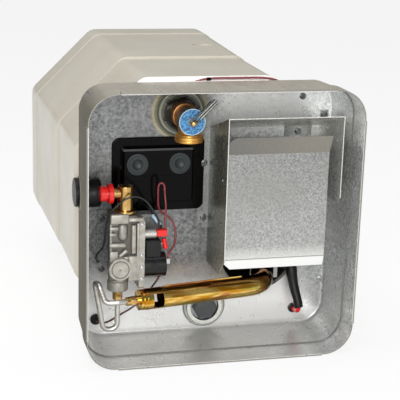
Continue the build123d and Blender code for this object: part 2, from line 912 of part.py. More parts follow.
def reset_cover():
    back = housing_back - reset_plate
    outer = slab(Pos(cover_x, cover_z) * RectangleRounded(cover_wide, cover_high, cover_corner),
                 cover_front, back)
    outer = chamfer(outer.faces().sort_by(Axis.Y)[0].edges(), cover_bevel)
    inner = slab(Pos(cover_x, cover_z) * Rectangle(cover_wide - 2 * cover_wall, cover_high - 2 * cover_wall),
                 cover_front + cover_wall, back + overrun)
    line = block(cover_x - cover_line_wide / 2, cover_x + cover_line_wide / 2,
                 cover_front - cover_line_high / 2, cover_front,
                 cover_z - cover_line_drop, cover_z - cover_line_drop + cover_line_high)
    cover = outer - inner + line
    for x in button_places():
        cover -= slab(disc(x, button_z(), button_radius + fit_gap), cover_front - overrun, back)
    return cover


def reset_button(x):
    front = cover_front - button_proud
    flange_front = cover_front + cover_wall + face_gap
    stem_end = switch_front - switch_pin_length - button_travel - face_gap
    z = button_z()
    body = slab(disc(x, z, button_radius), front, flange_front)
    body = fillet(body.faces().sort_by(Axis.Y)[0].edges(), button_proud / 2)
    body += slab(disc(x, z, button_flange), flange_front, flange_front + button_flange_thick)
    body += slab(disc(x, z, button_stem_radius), flange_front, stem_end)
    dish_depth = front + button_rim - button_dish
    dish = Pos(x, dish_depth, z) * Sphere(button_dish)
    groove = slab(disc(x, z, button_radius - button_rim)
                  - disc(x, z, button_radius - groove_share * button_rim),
                  front - overrun, front + button_proud / 2)
    return body - dish - groove


def limit_switch(x):
    z = button_z()
    body = slab(disc(x, z, switch_radius), switch_front, tank_front - face_gap)
    pin = slab(disc(x, z, switch_pin_radius), switch_front - switch_pin_length, switch_front)
    return body + pin


# Gas valve
def gas_valve_body():
    left = valve_x - valve_wide / 2
    right = valve_x + valve_wide / 2
    low = valve_mid_z - valve_high / 2
    top = valve_mid_z + valve_high / 2
    core = block(left, right, valve_front, valve_back, low, top)
    core = fillet(core.edges(), valve_round)
    pocket_right = right - rib_wide
    pocket_left = tower_x + tower_radius
    pocket = block(pocket_left, pocket_right, valve_front - overrun, valve_front + rib_high,
                   disc_z + disc_boss_radius, top - rib_high)
    left_pocket = block(left - overrun, tower_x - tower_radius, valve_front - overrun, valve_front + rib_high,
                        disc_z + disc_boss_radius + rib_high, top - 2 * rib_high)
    body = core - pocket - left_pocket
    body += upright(Pos(tower_x, valve_front + rib_high) * Circle(tower_radius), disc_z, top - rib_high)
    for level in valve_rib_shares:
        z = disc_z + disc_boss_radius + level * (top - disc_z - disc_boss_radius)
        body += block(left + rib_wide / 2, right - rib_wide / 2, valve_front + rib_wide / 2,
                      valve_front + rib_high, z - rib_wide / 2, z + rib_wide / 2)
    stub = slab(disc(left + rib_high, top - 2 * rib_high, rib_high - rib_wide / 4), valve_front, valve_back)
    body += stub
    body += upright(Pos(inlet_x, pipe_depth) * Circle(inlet_boss_radius), top - rib_high, inlet_boss_top)
    body += upright(Pos(outlet_x, pipe_depth) * Circle(outlet_boss_radius), outlet_boss_low, low + rib_high)
    body += slab(disc(disc_x, disc_z, disc_boss_radius), disc_boss_front, valve_front + rib_high)
    groove = disc(disc_x, disc_z, disc_radius + disc_groove) - disc(disc_x, disc_z, disc_radius)
    body -= slab(groove, disc_boss_front - overrun, disc_boss_front + disc_groove)
    body -= slab(disc(disc_x, disc_z, disc_centre_hole), disc_boss_front - overrun,
                 disc_boss_front + 2 * disc_centre_hole)
    body -= across(disc(pipe_depth, coil_z, plunger_radius + fit_gap), right - plunger_length / 2,
                   right + overrun)
    return body


def side_plate_right():
    return valve_x + valve_wide / 2 + side_plate_thick


def valve_side_plate():
    left = valve_x + valve_wide / 2
    low = side_plate_mid_z - side_plate_high / 2
    plate = block(left, side_plate_right(), valve_front + rib_wide, valve_back, low, low + side_plate_high)
    plate = fillet(plate.edges().filter_by(Axis.X), rib_high)
    return plate - across(disc(pipe_depth, coil_z, plunger_radius + fit_gap), left - overrun,
                          side_plate_right() + overrun)


def valve_screws():
    screws = []
    seat = valve_front + rib_wide
    for z in side_screw_heights:
        head = slab(disc(side_plate_right() - side_plate_thick / 2, z, small_screw_radius),
                    seat - small_screw_head, seat)
        screws.append(fillet(head.faces().sort_by(Axis.Y)[0].edges(), small_screw_head / 2))
    return screws


def coil_left():
    return side_plate_right()


def solenoid_coil():
    left = coil_left()
    right = left + coil_length
    body = across(disc(pipe_depth, coil_z, coil_radius - coil_end_flange / 4), left, right)
    for start in (left, right - coil_end_flange):
        body += across(disc(pipe_depth, coil_z, coil_radius), start, start + coil_end_flange)
    bore = across(disc(pipe_depth, coil_z, plunger_radius + fit_gap), left - overrun,
                  left + plunger_length / 2 + plunger_travel + fit_gap)
    return body - bore


def coil_block():
    left = coil_left() + coil_end_flange + fit_gap
    body = block(left, left + coil_block_long, pipe_depth - coil_block_deep / 2,
                 pipe_depth + coil_block_deep / 2, coil_block_low - rib_high, coil_block_high)
    body = fillet(body.edges(), valve_round / 2)
    return body - across(disc(pipe_depth, coil_z, coil_radius + face_gap), left - overrun,
                         left + coil_block_long + overrun)


def core_tube():
    body = across(disc(pipe_depth, core_z, core_radius), coil_left(), coil_left() + core_length)
    return fillet(body.faces().sort_by(Axis.X)[-1].edges(), core_radius / 4)


def solenoid_plunger():
    middle = coil_left()
    rod = across(disc(pipe_depth, coil_z, plunger_radius), middle - plunger_length / 2 + fit_gap,
                 middle + plunger_length / 2)
    return rod


def coil_terminals():
    right = coil_left() + coil_length
    tabs = []
    for depth in (pipe_depth - terminal_wide / 2 - terminal_thick, pipe_depth + terminal_wide / 2):
        tabs.append(block(right, right + terminal_wide, depth, depth + terminal_thick,
                          coil_z + terminal_thick, coil_z + terminal_thick + terminal_wide))
    block_right = coil_left() + coil_end_flange + fit_gap + coil_block_long
    tabs.append(block(block_right, block_right + terminal_wide / 2, pipe_depth - terminal_wide / 2,
                      pipe_depth + terminal_wide / 2, coil_block_high - terminal_wide,
                      coil_block_high - terminal_wide + terminal_thick))
    return tabs


def core_boot():
    left = coil_left() + core_length + face_gap
    body = block(left, left + core_boot_long, pipe_depth - core_boot_deep / 2,
                 pipe_depth + core_boot_deep / 2, core_boot_low, core_boot_top)
    return fillet(body.edges().filter_by(Axis.X), core_boot_round)


def slant_boot():
    block_right = coil_left() + coil_end_flange + fit_gap + coil_block_long
    low = coil_block_high - terminal_wide / 2
    boot = Cylinder(slant_boot_radius, slant_boot_length)
    boot = fillet(boot.edges().filter_by(GeomType.CIRCLE), slant_boot_radius / 3)
    x = block_right + terminal_wide / 2 + slant_boot_radius + 2 * face_gap
    z = low - slant_boot_length / 2 + slant_boot_radius
    return Pos(x, pipe_depth, z) * Rot(0, slant_boot_turn, 0) * boot


def valve_bracket():
    foot_back = housing_back
    foot_front = foot_back - bracket_sheet
    plate_back = valve_back + bracket_sheet
    plate = block(bracket_left, bracket_right, valve_back, plate_back, bracket_low, bracket_top)
    web = block(bracket_left, bracket_left + bracket_sheet, valve_back, foot_back, bracket_low, bracket_top)
    foot = block(bracket_left - bracket_foot, bracket_left + bracket_sheet, foot_front, foot_back,
                 bracket_low, bracket_top)
    bracket = plate + web + foot
    for z in bracket_screw_heights:
        bracket -= slab(disc(bracket_screw_x, z, screw_hole_radius), foot_front - overrun,
                        foot_back + overrun)
    return bracket


# Inlet elbow and its cap
def inlet_elbow():
    body = upright(Pos(inlet_x, pipe_depth) * Circle(elbow_radius), inlet_boss_top, elbow_top)
    body = fillet(body.faces().sort_by(Axis.Z)[-1].edges(), elbow_ring)
    body += upright(Pos(inlet_x, pipe_depth) * Circle(elbow_radius + elbow_ring), inlet_boss_top,
                    inlet_boss_top + 2 * elbow_ring)
    body += across(disc(pipe_depth, elbow_arm_z, elbow_arm_radius), elbow_arm_end, inlet_x)
    body -= upright(Pos(inlet_x, pipe_depth) * Circle(elbow_bore), inlet_boss_top - overrun, elbow_arm_z)
    body -= across(disc(pipe_depth, elbow_arm_z, elbow_bore), elbow_arm_end - overrun, inlet_x)
    return body


def inlet_cap():
    start = elbow_arm_end - face_gap
    neck = start - cap_flange_thick
    knob = neck - cap_neck_length
    end = knob - cap_knob_length
    reach = elbow_bore - running_gap
    profile = [
        (0, start + cap_flange_thick), (reach, start + cap_flange_thick), (reach, start),
        (cap_flange_radius - elbow_ring, start), (cap_flange_radius, start - elbow_ring),
        (cap_flange_radius, neck + elbow_ring), (cap_flange_radius - elbow_ring, neck),
        (cap_neck_radius, neck), (cap_neck_radius, knob), (cap_knob_radius, knob),
        (cap_knob_radius, end + elbow_ring), (cap_knob_radius - elbow_ring, end), (0, end),
    ]
    return turned_side(profile, pipe_depth, elbow_arm_z)


# Manifold tube and its nut
def nut_low():
    return outlet_boss_low - nut_length


def manifold_nut():
    nut = upright(Pos(outlet_x, pipe_depth) * hexagon(nut_hex), nut_low(), outlet_boss_low)
    nut = chamfer(nut.faces().sort_by(Axis.Z)[0].edges(), elbow_ring / 2)
    return nut - upright(Pos(outlet_x, pipe_depth) * Circle(tube_radius + running_gap),
                         nut_low() - overrun, outlet_boss_low - rib_wide)


def manifold_route():
    low = nut_low() - manifold_drop
    return [
        (outlet_x, pipe_depth, outlet_boss_low - rib_wide - fit_gap),
        (outlet_x, pipe_depth, low),
        (outlet_x - manifold_low_reach, pipe_depth, low + manifold_low_rise),
        (outlet_x - manifold_far_reach, pipe_depth - manifold_far_ahead, low + manifold_far_rise),
        (outlet_x - manifold_top_reach, burner_start_depth + manifold_top_behind, low + manifold_top_rise),
        (outlet_x - manifold_end_reach, burner_start_depth, burner_z - manifold_end_drop),
        burner_point(burner_start_x - 3 * tube_radius),
        burner_point(burner_start_x - fit_gap),
    ]


def manifold_tube():
    path = FilletPolyline(*manifold_route(), radius=list(manifold_radii))
    return tube_along(path, tube_radius)


# Burner: everything on its slanting axis is placed by the distance along it
def burner_heading():
    return Vector(1, burner_slant, 0).normalized()


def burner_point(x):
    return (x, burner_start_depth + burner_slant * (x - burner_start_x), burner_z)


def burner_axis(distance):
    start = Vector(*burner_point(burner_start_x)) + burner_heading() * distance
    return Plane(start, x_dir=(0, 0, 1), z_dir=burner_heading())


def along_burner(shape, start, end):
    return extrude(burner_axis(start) * shape, amount=end - start)


def orifice_holder():
    body = along_burner(Circle(orifice_radius), 0, orifice_length)
    body += along_burner(hexagon(2 * orifice_radius), orifice_length / 3, orifice_length * 2 / 3)
    body += along_burner(Circle(spud_radius), orifice_length, orifice_length + spud_length)
    return body - along_burner(Circle(spud_radius / 3), -overrun, orifice_length + spud_length + overrun)


def burner_collar():
    start = orifice_length
    end = start + collar_length
    body = along_burner(Circle(collar_radius), start, end)
    groove = Circle(collar_radius + overrun) - Circle(collar_radius - burner_wall)
    body -= along_burner(groove, start + collar_length / 3, start + collar_length / 2)
    return body - along_burner(Circle(spud_radius + running_gap), start - overrun, end + overrun)


def burner_path(start, end_depth):
    corner = Vector(*burner_point(burner_end_x))
    first = burner_axis(start).origin
    return FilletPolyline(first, corner, (burner_end_x, end_depth, burner_z), radius=burner_bend)


def burner_tube():
    start = orifice_length + collar_length
    outer = tube_along(burner_path(start, burner_end_depth), burner_radius)
    inner = tube_along(burner_path(start + 2 * burner_wall, burner_end_depth + overrun),
                       burner_radius - burner_wall)
    tube = outer - inner
    tube -= along_burner(Circle(spud_radius + fit_gap), start - overrun, start + overrun)
    window_start = start + window_gap
    tube -= along_burner(Rectangle(2 * window_half_height, 3 * burner_radius), window_start,
                         window_start + window_length)
    straight = (burner_end_x - burner_start_x) / burner_heading().X
    seam_start = seam_start_share * straight - window_start
    seam_end = seam_end_share * straight - burner_bend
    tube += along_burner(Pos(burner_radius, 0) * Rectangle(2 * seam_high, seam_thick), seam_start, seam_end) \
        - along_burner(Circle(burner_radius - burner_wall), seam_start - overrun, seam_end + overrun)
    return tube


# Spark electrode, its boot and the short end of its lead
def electrode_insulator():
    rod = across(disc(electrode_depth, electrode_z, ceramic_radius), electrode_left, electrode_right)
    groove_start = electrode_left + electrode_reach
    groove = across(disc(electrode_depth, electrode_z, 2 * ceramic_radius)
                    - disc(electrode_depth, electrode_z, ceramic_radius - electrode_wire / 2),
                    groove_start, groove_start + electrode_wire)
    return rod - groove


def electrode_wire_tip():
    turn = electrode_left - electrode_reach
    path = FilletPolyline(
        (electrode_left, electrode_depth, electrode_z), (turn, electrode_depth, electrode_z),
        (turn, electrode_depth, electrode_z - electrode_drop), radius=electrode_reach / 2)
    return tube_along(path, electrode_wire)


def electrode_clip():
    left = spark_boot_start - electrode_clip_wide - 2 * electrode_wire
    right = left + electrode_clip_wide
    band = across(disc(electrode_depth, electrode_z, ceramic_radius + box_sheet)
                  - disc(electrode_depth, electrode_z, ceramic_radius + running_gap), left, right)
    tail = block(left, right, electrode_depth + ceramic_radius, housing_back, electrode_z - box_sheet,
                 electrode_z)
    foot = block(left, right, housing_back - box_sheet, housing_back, electrode_clip_low, electrode_z)
    hole = across(disc(electrode_depth, electrode_z, ceramic_radius + running_gap), left - overrun,
                  right + overrun)
    return band + tail + foot - hole


def spark_boot_route():
    return [
        (spark_boot_start, electrode_depth, electrode_z),
        (spark_boot_start + spark_turn_reach, electrode_depth - spark_turn_ahead,
         electrode_z - spark_turn_drop),
        (spark_boot_start + spark_low_reach, electrode_depth - spark_low_ahead,
         electrode_z - spark_low_drop),
    ]


def spark_boot():
    path = FilletPolyline(*spark_boot_route(), radius=spark_boot_radius + spark_ridge)
    boot = tube_along(path, spark_boot_radius)
    corner = Vector(*spark_boot_route()[1])
    low = Vector(*spark_boot_route()[2])
    heading = (low - corner).normalized()
    ring_start = corner + heading * (spark_boot_radius + 2 * spark_ridge)
    boot += extrude(Plane(ring_start, z_dir=heading) * Circle(spark_boot_radius + spark_ridge),
                    amount=2 * spark_ridge)
    socket = across(disc(electrode_depth, electrode_z, ceramic_radius + running_gap),
                    spark_boot_start - overrun, electrode_right + running_gap)
    return boot - socket


def spark_lead_end():
    corner = Vector(*spark_boot_route()[1])
    low = Vector(*spark_boot_route()[2])
    heading = (low - corner).normalized()
    turn = low + heading * spark_lead_drop
    path = FilletPolyline(
        low, turn,
        (lead_grommet_x, turn.Y + spark_lead_radii[0], lead_grommet_z),
        (lead_grommet_x, housing_depth, lead_grommet_z),
        radius=[spark_lead_radii[0] / 2, spark_lead_radii[1] / 2])
    return tube_along(path, spark_lead_radius)


def lead_grommet():
    front = housing_back - lead_grommet_proud
    body = slab(disc(lead_grommet_x, lead_grommet_z, lead_grommet_radius), front, housing_back)
    body = fillet(body.faces().sort_by(Axis.Y)[0].edges(), lead_grommet_radius / 4)
    return body - slab(disc(lead_grommet_x, lead_grommet_z, spark_lead_radius + running_gap),
                       front - overrun, housing_back + overrun)


# Flue box and deflector
def side_panel(points, left):
    return across(make_face(Polyline(*points, close=True)), left, left + box_sheet)


def flue_box():
    back = housing_back
    left = side_panel([
        (box_front, box_top_front), (back, box_top_back), (back, box_left_low),
        (box_left_tip, box_left_low + box_sheet), (box_front, box_left_front_low)], box_left)
    right = side_panel([
        (box_front, box_top_front), (back, box_top_back), (back, box_right_low),
        (box_right_tip, box_right_low), (box_front, box_right_front_low)], box_right - box_sheet)
    roof = across(make_face(Polyline(
        (box_front, box_top_front), (back, box_top_back), (back, box_top_back - box_sheet),
        (box_front, box_top_front - box_sheet), close=True)), box_left, box_right)
    left_foot = block(box_left - foot_left_wide, box_left + box_sheet, back - box_sheet, back,
                      foot_left_low, box_top_back)
    for x, z in left_foot_screws:
        left_foot += block(-foot_tab_wide, box_left, back - box_sheet, back,
                           z - foot_tab_half, z + foot_tab_half)
    right_foot = block(box_right - box_sheet, box_right + foot_right_wide, back - box_sheet, back,
                       box_right_low, box_top_back)
    right_ear = block(box_right - box_sheet, box_right + foot_right_wide, back - box_sheet, back,
                      box_top_back, foot_right_top)
    tab = block(tab_left, tab_right, back - box_sheet, back, tab_low, box_top_back)
    box = left + right + roof + left_foot + right_foot + right_ear + tab
    places = list(left_foot_screws) + [right_foot_screw, tab_screw]
    for x, z in places:
        box -= slab(disc(x, z, screw_hole_radius), back - overrun, back + overrun)
    inner = box_left + box_sheet
    for share in rivet_shares:
        z = deflector_flange_low + share * (deflector_flange_high - deflector_flange_low)
        box -= across(disc(deflector_depth + deflector_flange / 2, z, rivet_radius / 2 + running_gap),
                      box_left - overrun, inner + overrun)
    return box


def exhaust_deflector():
    left = box_left + box_sheet
    right = deflector_right
    lip_depth = deflector_depth - deflector_lip_reach
    lip_top = deflector_high + deflector_lip_high
    toe_low = deflector_low - deflector_toe_drop
    toe_depth = deflector_depth + deflector_toe_reach
    plate = block(left, right, deflector_depth, deflector_depth + box_sheet, deflector_low, deflector_high)
    lip = across(make_face(Polyline(
        (deflector_depth, deflector_high), (lip_depth, lip_top), (lip_depth + box_sheet, lip_top),
        (deflector_depth + box_sheet, deflector_high), close=True)), left, right)
    toe = across(make_face(Polyline(
        (deflector_depth, deflector_low), (toe_depth, toe_low), (toe_depth + box_sheet, toe_low),
        (deflector_depth + box_sheet, deflector_low), close=True)), left, right)
    high_corner = Pos(left + fit_gap, lip_top) * (
        Pos(deflector_corner / 2, -deflector_corner / 2) * Rectangle(deflector_corner, deflector_corner)
        - Pos(deflector_corner, -deflector_corner) * Circle(deflector_corner))
    lip -= slab(high_corner, lip_depth - overrun, deflector_depth)
    lip -= block(left - overrun, left + fit_gap, lip_depth - overrun, deflector_depth - box_sheet,
                 deflector_high, lip_top + overrun)
    wedge = make_face(Polyline((left - overrun, deflector_low), (left + deflector_cut, toe_low - overrun),
                               (left - overrun, toe_low - overrun), close=True))
    toe -= slab(wedge, deflector_depth - overrun, toe_depth + 2 * overrun)
    flange = block(left, left + box_sheet, deflector_depth, deflector_depth + deflector_flange,
                   deflector_flange_low, deflector_flange_high)
    deflector = plate + lip + toe + flange
    for share in rivet_shares:
        z = deflector_flange_low + share * (deflector_flange_high - deflector_flange_low)
        deflector -= across(disc(deflector_depth + deflector_flange / 2, z, rivet_radius / 2 + running_gap),
                            left - overrun, left + overrun)
    return deflector


def deflector_rivets():
    rivets = []
    for share in rivet_shares:
        z = deflector_flange_low + share * (deflector_flange_high - deflector_flange_low)
        depth = deflector_depth + deflector_flange / 2
        inner = box_left + 2 * box_sheet
        shank = across(disc(depth, z, rivet_radius / 2), box_left, inner)
        head = across(disc(depth, z, rivet_radius), box_left - rivet_head, box_left)
        head = fillet(head.faces().sort_by(Axis.X)[0].edges(), rivet_head / 2)
        tail = across(disc(depth, z, rivet_radius * rivet_tail_share), inner, inner + rivet_head)
        rivets.append(shank + head + tail)
    return rivets


# Screws that hold the sheets to the housing's back
def all_screw_places():
    bracket_places = [(bracket_screw_x, z) for z in bracket_screw_heights]
    return list(left_foot_screws) + [right_foot_screw, tab_screw] + bracket_places + list(plain_screws)


def screw_seats():
    seats = [(x, z, box_sheet) for x, z in list(left_foot_screws) + [right_foot_screw, tab_screw]]
    seats += [(bracket_screw_x, z, bracket_sheet) for z in bracket_screw_heights]
    seats += [(x, z, 0) for x, z in plain_screws]
    return seats


def housing_screws():
    screws = []
    for x, z, sheet in screw_seats():
        seat = housing_back - sheet
        head = slab(disc(x, z, screw_head_radius), seat - screw_head_thick, seat)
        head = fillet(head.faces().sort_by(Axis.Y)[0].edges(), screw_head_thick / 2)
        slot_depth = screw_head_thick / 2
        cross = slab(Pos(x, z) * (Rectangle(screw_slot, screw_head_radius)
                                  + Rectangle(screw_head_radius, screw_slot)),
                     seat - screw_head_thick - overrun, seat - slot_depth)
        shank = slab(disc(x, z, screw_shank_radius), seat, housing_back + screw_shank_length - housing_sheet)
        screws.append(head - cross + shank)
    return screws


# Grommets
def gas_line_grommet():
    inner = across(disc(gas_depth, gas_z, gas_flange_radius), -gas_outer_face, -gas_inner_end)
    inner = fillet(inner.faces().sort_by(Axis.X)[-1].edges(), gas_round)
    inner &= housing_block(housing_sheet + face_gap, -overrun)
    outer = across(disc(gas_flange_depth, gas_z, gas_flange_radius), -gas_outer_face, -gas_inner_end)
    outer = fillet(outer.faces().sort_by(Axis.X)[0].edges(), gas_round / 2)
    outer -= housing_block(-face_gap - boss_lift, 0)
    outer -= block(-gas_seat_face, 0, housing_depth, jacket_front + 2 * gas_flange_radius,
                   -rim_half, rim_half)
    neck = across(disc(gas_depth, gas_z, gas_hole_radius - running_gap), -gas_seat_face - fit_gap,
                  -gas_seat_face + 2 * gas_round + housing_sheet)
    return outer + neck + inner


def wire_grommet():
    front = housing_back - wire_grommet_proud
    body = slab(disc(wire_grommet_x, wire_grommet_z, wire_grommet_radius), front, housing_back)
    body = fillet(body.faces().sort_by(Axis.Y)[0].edges(), wire_grommet_proud / 3)
    body += slab(disc(wire_grommet_x, wire_grommet_z, wire_hole_radius - running_gap), housing_back,
                 housing_depth)
    return body


def node_list():
    buttons = button_places()
    return {
        "control_housing": control_housing(),
        "jacket_front_shell": jacket_front_shell(),
        "jacket_rear_shell": jacket_rear_shell(),
        "foam_front": foam_front(),
        "foam_rear": foam_rear(),
        "tank_shell": tank_shell(),
        "flue_tube": flue_tube(),
        "hot_nipple": water_nipple(nipple_height),
        "cold_nipple": water_nipple(-nipple_height),
        "drain_port_ring": drain_port_ring(),
        "drain_spud": drain_spud(),
        "drain_plug": drain_plug(),
        "anode_rod": anode_rod(),
        "relief_port_ring": relief_port_ring(),
        "relief_nipple": relief_nipple(),
        "relief_valve_body": relief_valve_body(),
        "relief_tag": relief_tag(),
        "relief_stem": relief_stem(),
        "relief_spring": relief_spring(),
        "relief_lever": relief_lever(),
        "lever_pin": lever_pin(),
        "reset_base": reset_base(),
        "reset_cover": reset_cover(),
        "reset_button_left": reset_button(buttons[0]),
        "reset_button_right": reset_button(buttons[1]),
        "limit_switch_left": limit_switch(buttons[0]),
        "limit_switch_right": limit_switch(buttons[1]),
        "gas_valve_body": gas_valve_body(),
        "valve_side_plate": valve_side_plate(),
        "valve_screws": valve_screws(),
        "solenoid_coil": solenoid_coil(),
        "coil_block": coil_block(),
        "core_tube": core_tube(),
        "solenoid_plunger": solenoid_plunger(),
        "coil_terminals": coil_terminals(),
        "terminal_boots": [core_boot(), slant_boot()],
        "valve_bracket": valve_bracket(),
        "inlet_elbow": inlet_elbow(),
        "inlet_cap": inlet_cap(),
        "manifold_nut": manifold_nut(),
        "manifold_tube": manifold_tube(),
        "orifice_holder": orifice_holder(),
        "burner_collar": burner_collar(),
        "burner_tube": burner_tube(),
        "electrode_insulator": electrode_insulator(),
        "electrode_tip": electrode_wire_tip(),
        "electrode_clip": electrode_clip(),
        "spark_boot": spark_boot(),
        "spark_lead_end": spark_lead_end(),
        "flue_box": flue_box(),
        "exhaust_deflector": exhaust_deflector(),
        "deflector_rivets": deflector_rivets(),
        "housing_screws": housing_screws(),
        "gas_line_grommet": gas_line_grommet(),
        "wire_grommets": [wire_grommet(), lead_grommet()],
        "ground_lead": lead_tube("ground_lead", ground_lead_route, lead_diameter),
        "sensor_lead": lead_tube("sensor_lead", sensor_lead_route, lead_diameter),
        "jumper_lead": lead_tube("jumper_lead", jumper_lead_route, lead_diameter),
        "supply_lead": lead_tube("supply_lead", supply_lead_route, lead_diameter),
        "power_lead": lead_tube("power_lead", power_lead_route, power_lead_diameter),
    }


def write_parts():
    os.makedirs("parts", exist_ok=True)
    place = Pos(0, -(jacket_rear + nipple_proud) / 2, floor_half)
    for name, shape in node_list().items():
        solids = []
        for piece in (shape if isinstance(shape, list) else [shape]):
            solids += (place * piece).solids()
        export_step(Compound(children=solids) if len(solids) > 1 else solids[0], f"parts/{name}.step")


write_parts()
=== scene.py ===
import math

import bpy
from mathutils import Matrix, Vector


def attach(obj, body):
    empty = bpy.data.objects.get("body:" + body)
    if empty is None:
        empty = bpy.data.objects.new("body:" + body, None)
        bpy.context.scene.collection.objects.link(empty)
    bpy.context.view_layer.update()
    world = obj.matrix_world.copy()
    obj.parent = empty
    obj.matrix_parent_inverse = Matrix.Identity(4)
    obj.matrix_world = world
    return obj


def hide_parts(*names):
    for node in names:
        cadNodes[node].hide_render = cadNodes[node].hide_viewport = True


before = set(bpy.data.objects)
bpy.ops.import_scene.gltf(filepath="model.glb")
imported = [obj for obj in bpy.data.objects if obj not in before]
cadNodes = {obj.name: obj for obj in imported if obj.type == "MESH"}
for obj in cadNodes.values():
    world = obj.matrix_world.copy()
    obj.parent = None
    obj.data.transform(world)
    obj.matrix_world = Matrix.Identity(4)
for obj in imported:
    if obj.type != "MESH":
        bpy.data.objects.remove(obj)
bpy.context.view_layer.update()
print("heater: frame loaded,", len(cadNodes), "nodes")

mm = 0.001
halfDepth = 247.5                     # the heater's origin lies under its middle
rimHeight = 163.4
reliefAxis = (-36.0, 121.5)           # x and z of three axes that run from front to back
drainAxis = (0.0, -126.2)
bossAxis = (-118.9, -49.6)
smoothAngle = math.radians(35)
edgeSegments = 3


def place(x, y, z):
    return Vector((x * mm, (y - halfDepth) * mm, (z + rimHeight) * mm))


cameraSetting = {
    "place": (-367.15, -1275.41, 407.08),
    "azimuth": 14.66,
    "elevation": 15.61,
    "roll": 1.71,
    "focalPixels": 1206.1,
    "picturePixels": 400,
    "sensorWidth": 36.0,
}


def addCamera(setting):
    azimuth = math.radians(setting["azimuth"])
    elevation = math.radians(setting["elevation"])
    roll = math.radians(setting["roll"])
    forward = Vector((
        math.sin(azimuth) * math.cos(elevation),
        math.cos(azimuth) * math.cos(elevation),
        -math.sin(elevation),
    ))
    side = forward.cross(Vector((0, 0, 1))).normalized()
    over = side.cross(forward)
    right = side * math.cos(roll) + over * math.sin(roll)
    up = over * math.cos(roll) - side * math.sin(roll)
    data = bpy.data.cameras.new("photoCamera")
    data.sensor_width = setting["sensorWidth"]
    data.lens = setting["focalPixels"] / setting["picturePixels"] * setting["sensorWidth"]
    camera = bpy.data.objects.new("photoCamera", data)
    bpy.context.scene.collection.objects.link(camera)
    turn = Matrix((right, up, -forward)).transposed().to_4x4()
    camera.matrix_world = Matrix.Translation(place(*setting["place"])) @ turn
    bpy.context.scene.camera = camera


addCamera(cameraSetting)
print("heater: camera set")


def tone(code):
    # the code of a screen colour, in linear light
    channels = [int(code[k:k + 2], 16) / 255 for k in (0, 2, 4)]
    linear = [c / 12.92 if c <= 0.04045 else ((c + 0.055) / 1.055) ** 2.4 for c in channels]
    return (*linear, 1.0)


def feed(tree, node, inputs):
    # each input takes a link from a socket or else a plain value
    for key, value in inputs.items():
        if isinstance(value, bpy.types.NodeSocket):
            tree.links.new(value, node.inputs[key])
        else:
            node.inputs[key].default_value = value


def addNode(tree, kind, inputs, **values):
    # gives the new node's outputs back
    node = tree.nodes.new(kind)
    for key, value in values.items():
        setattr(node, key, value)
    feed(tree, node, inputs)
    return node.outputs


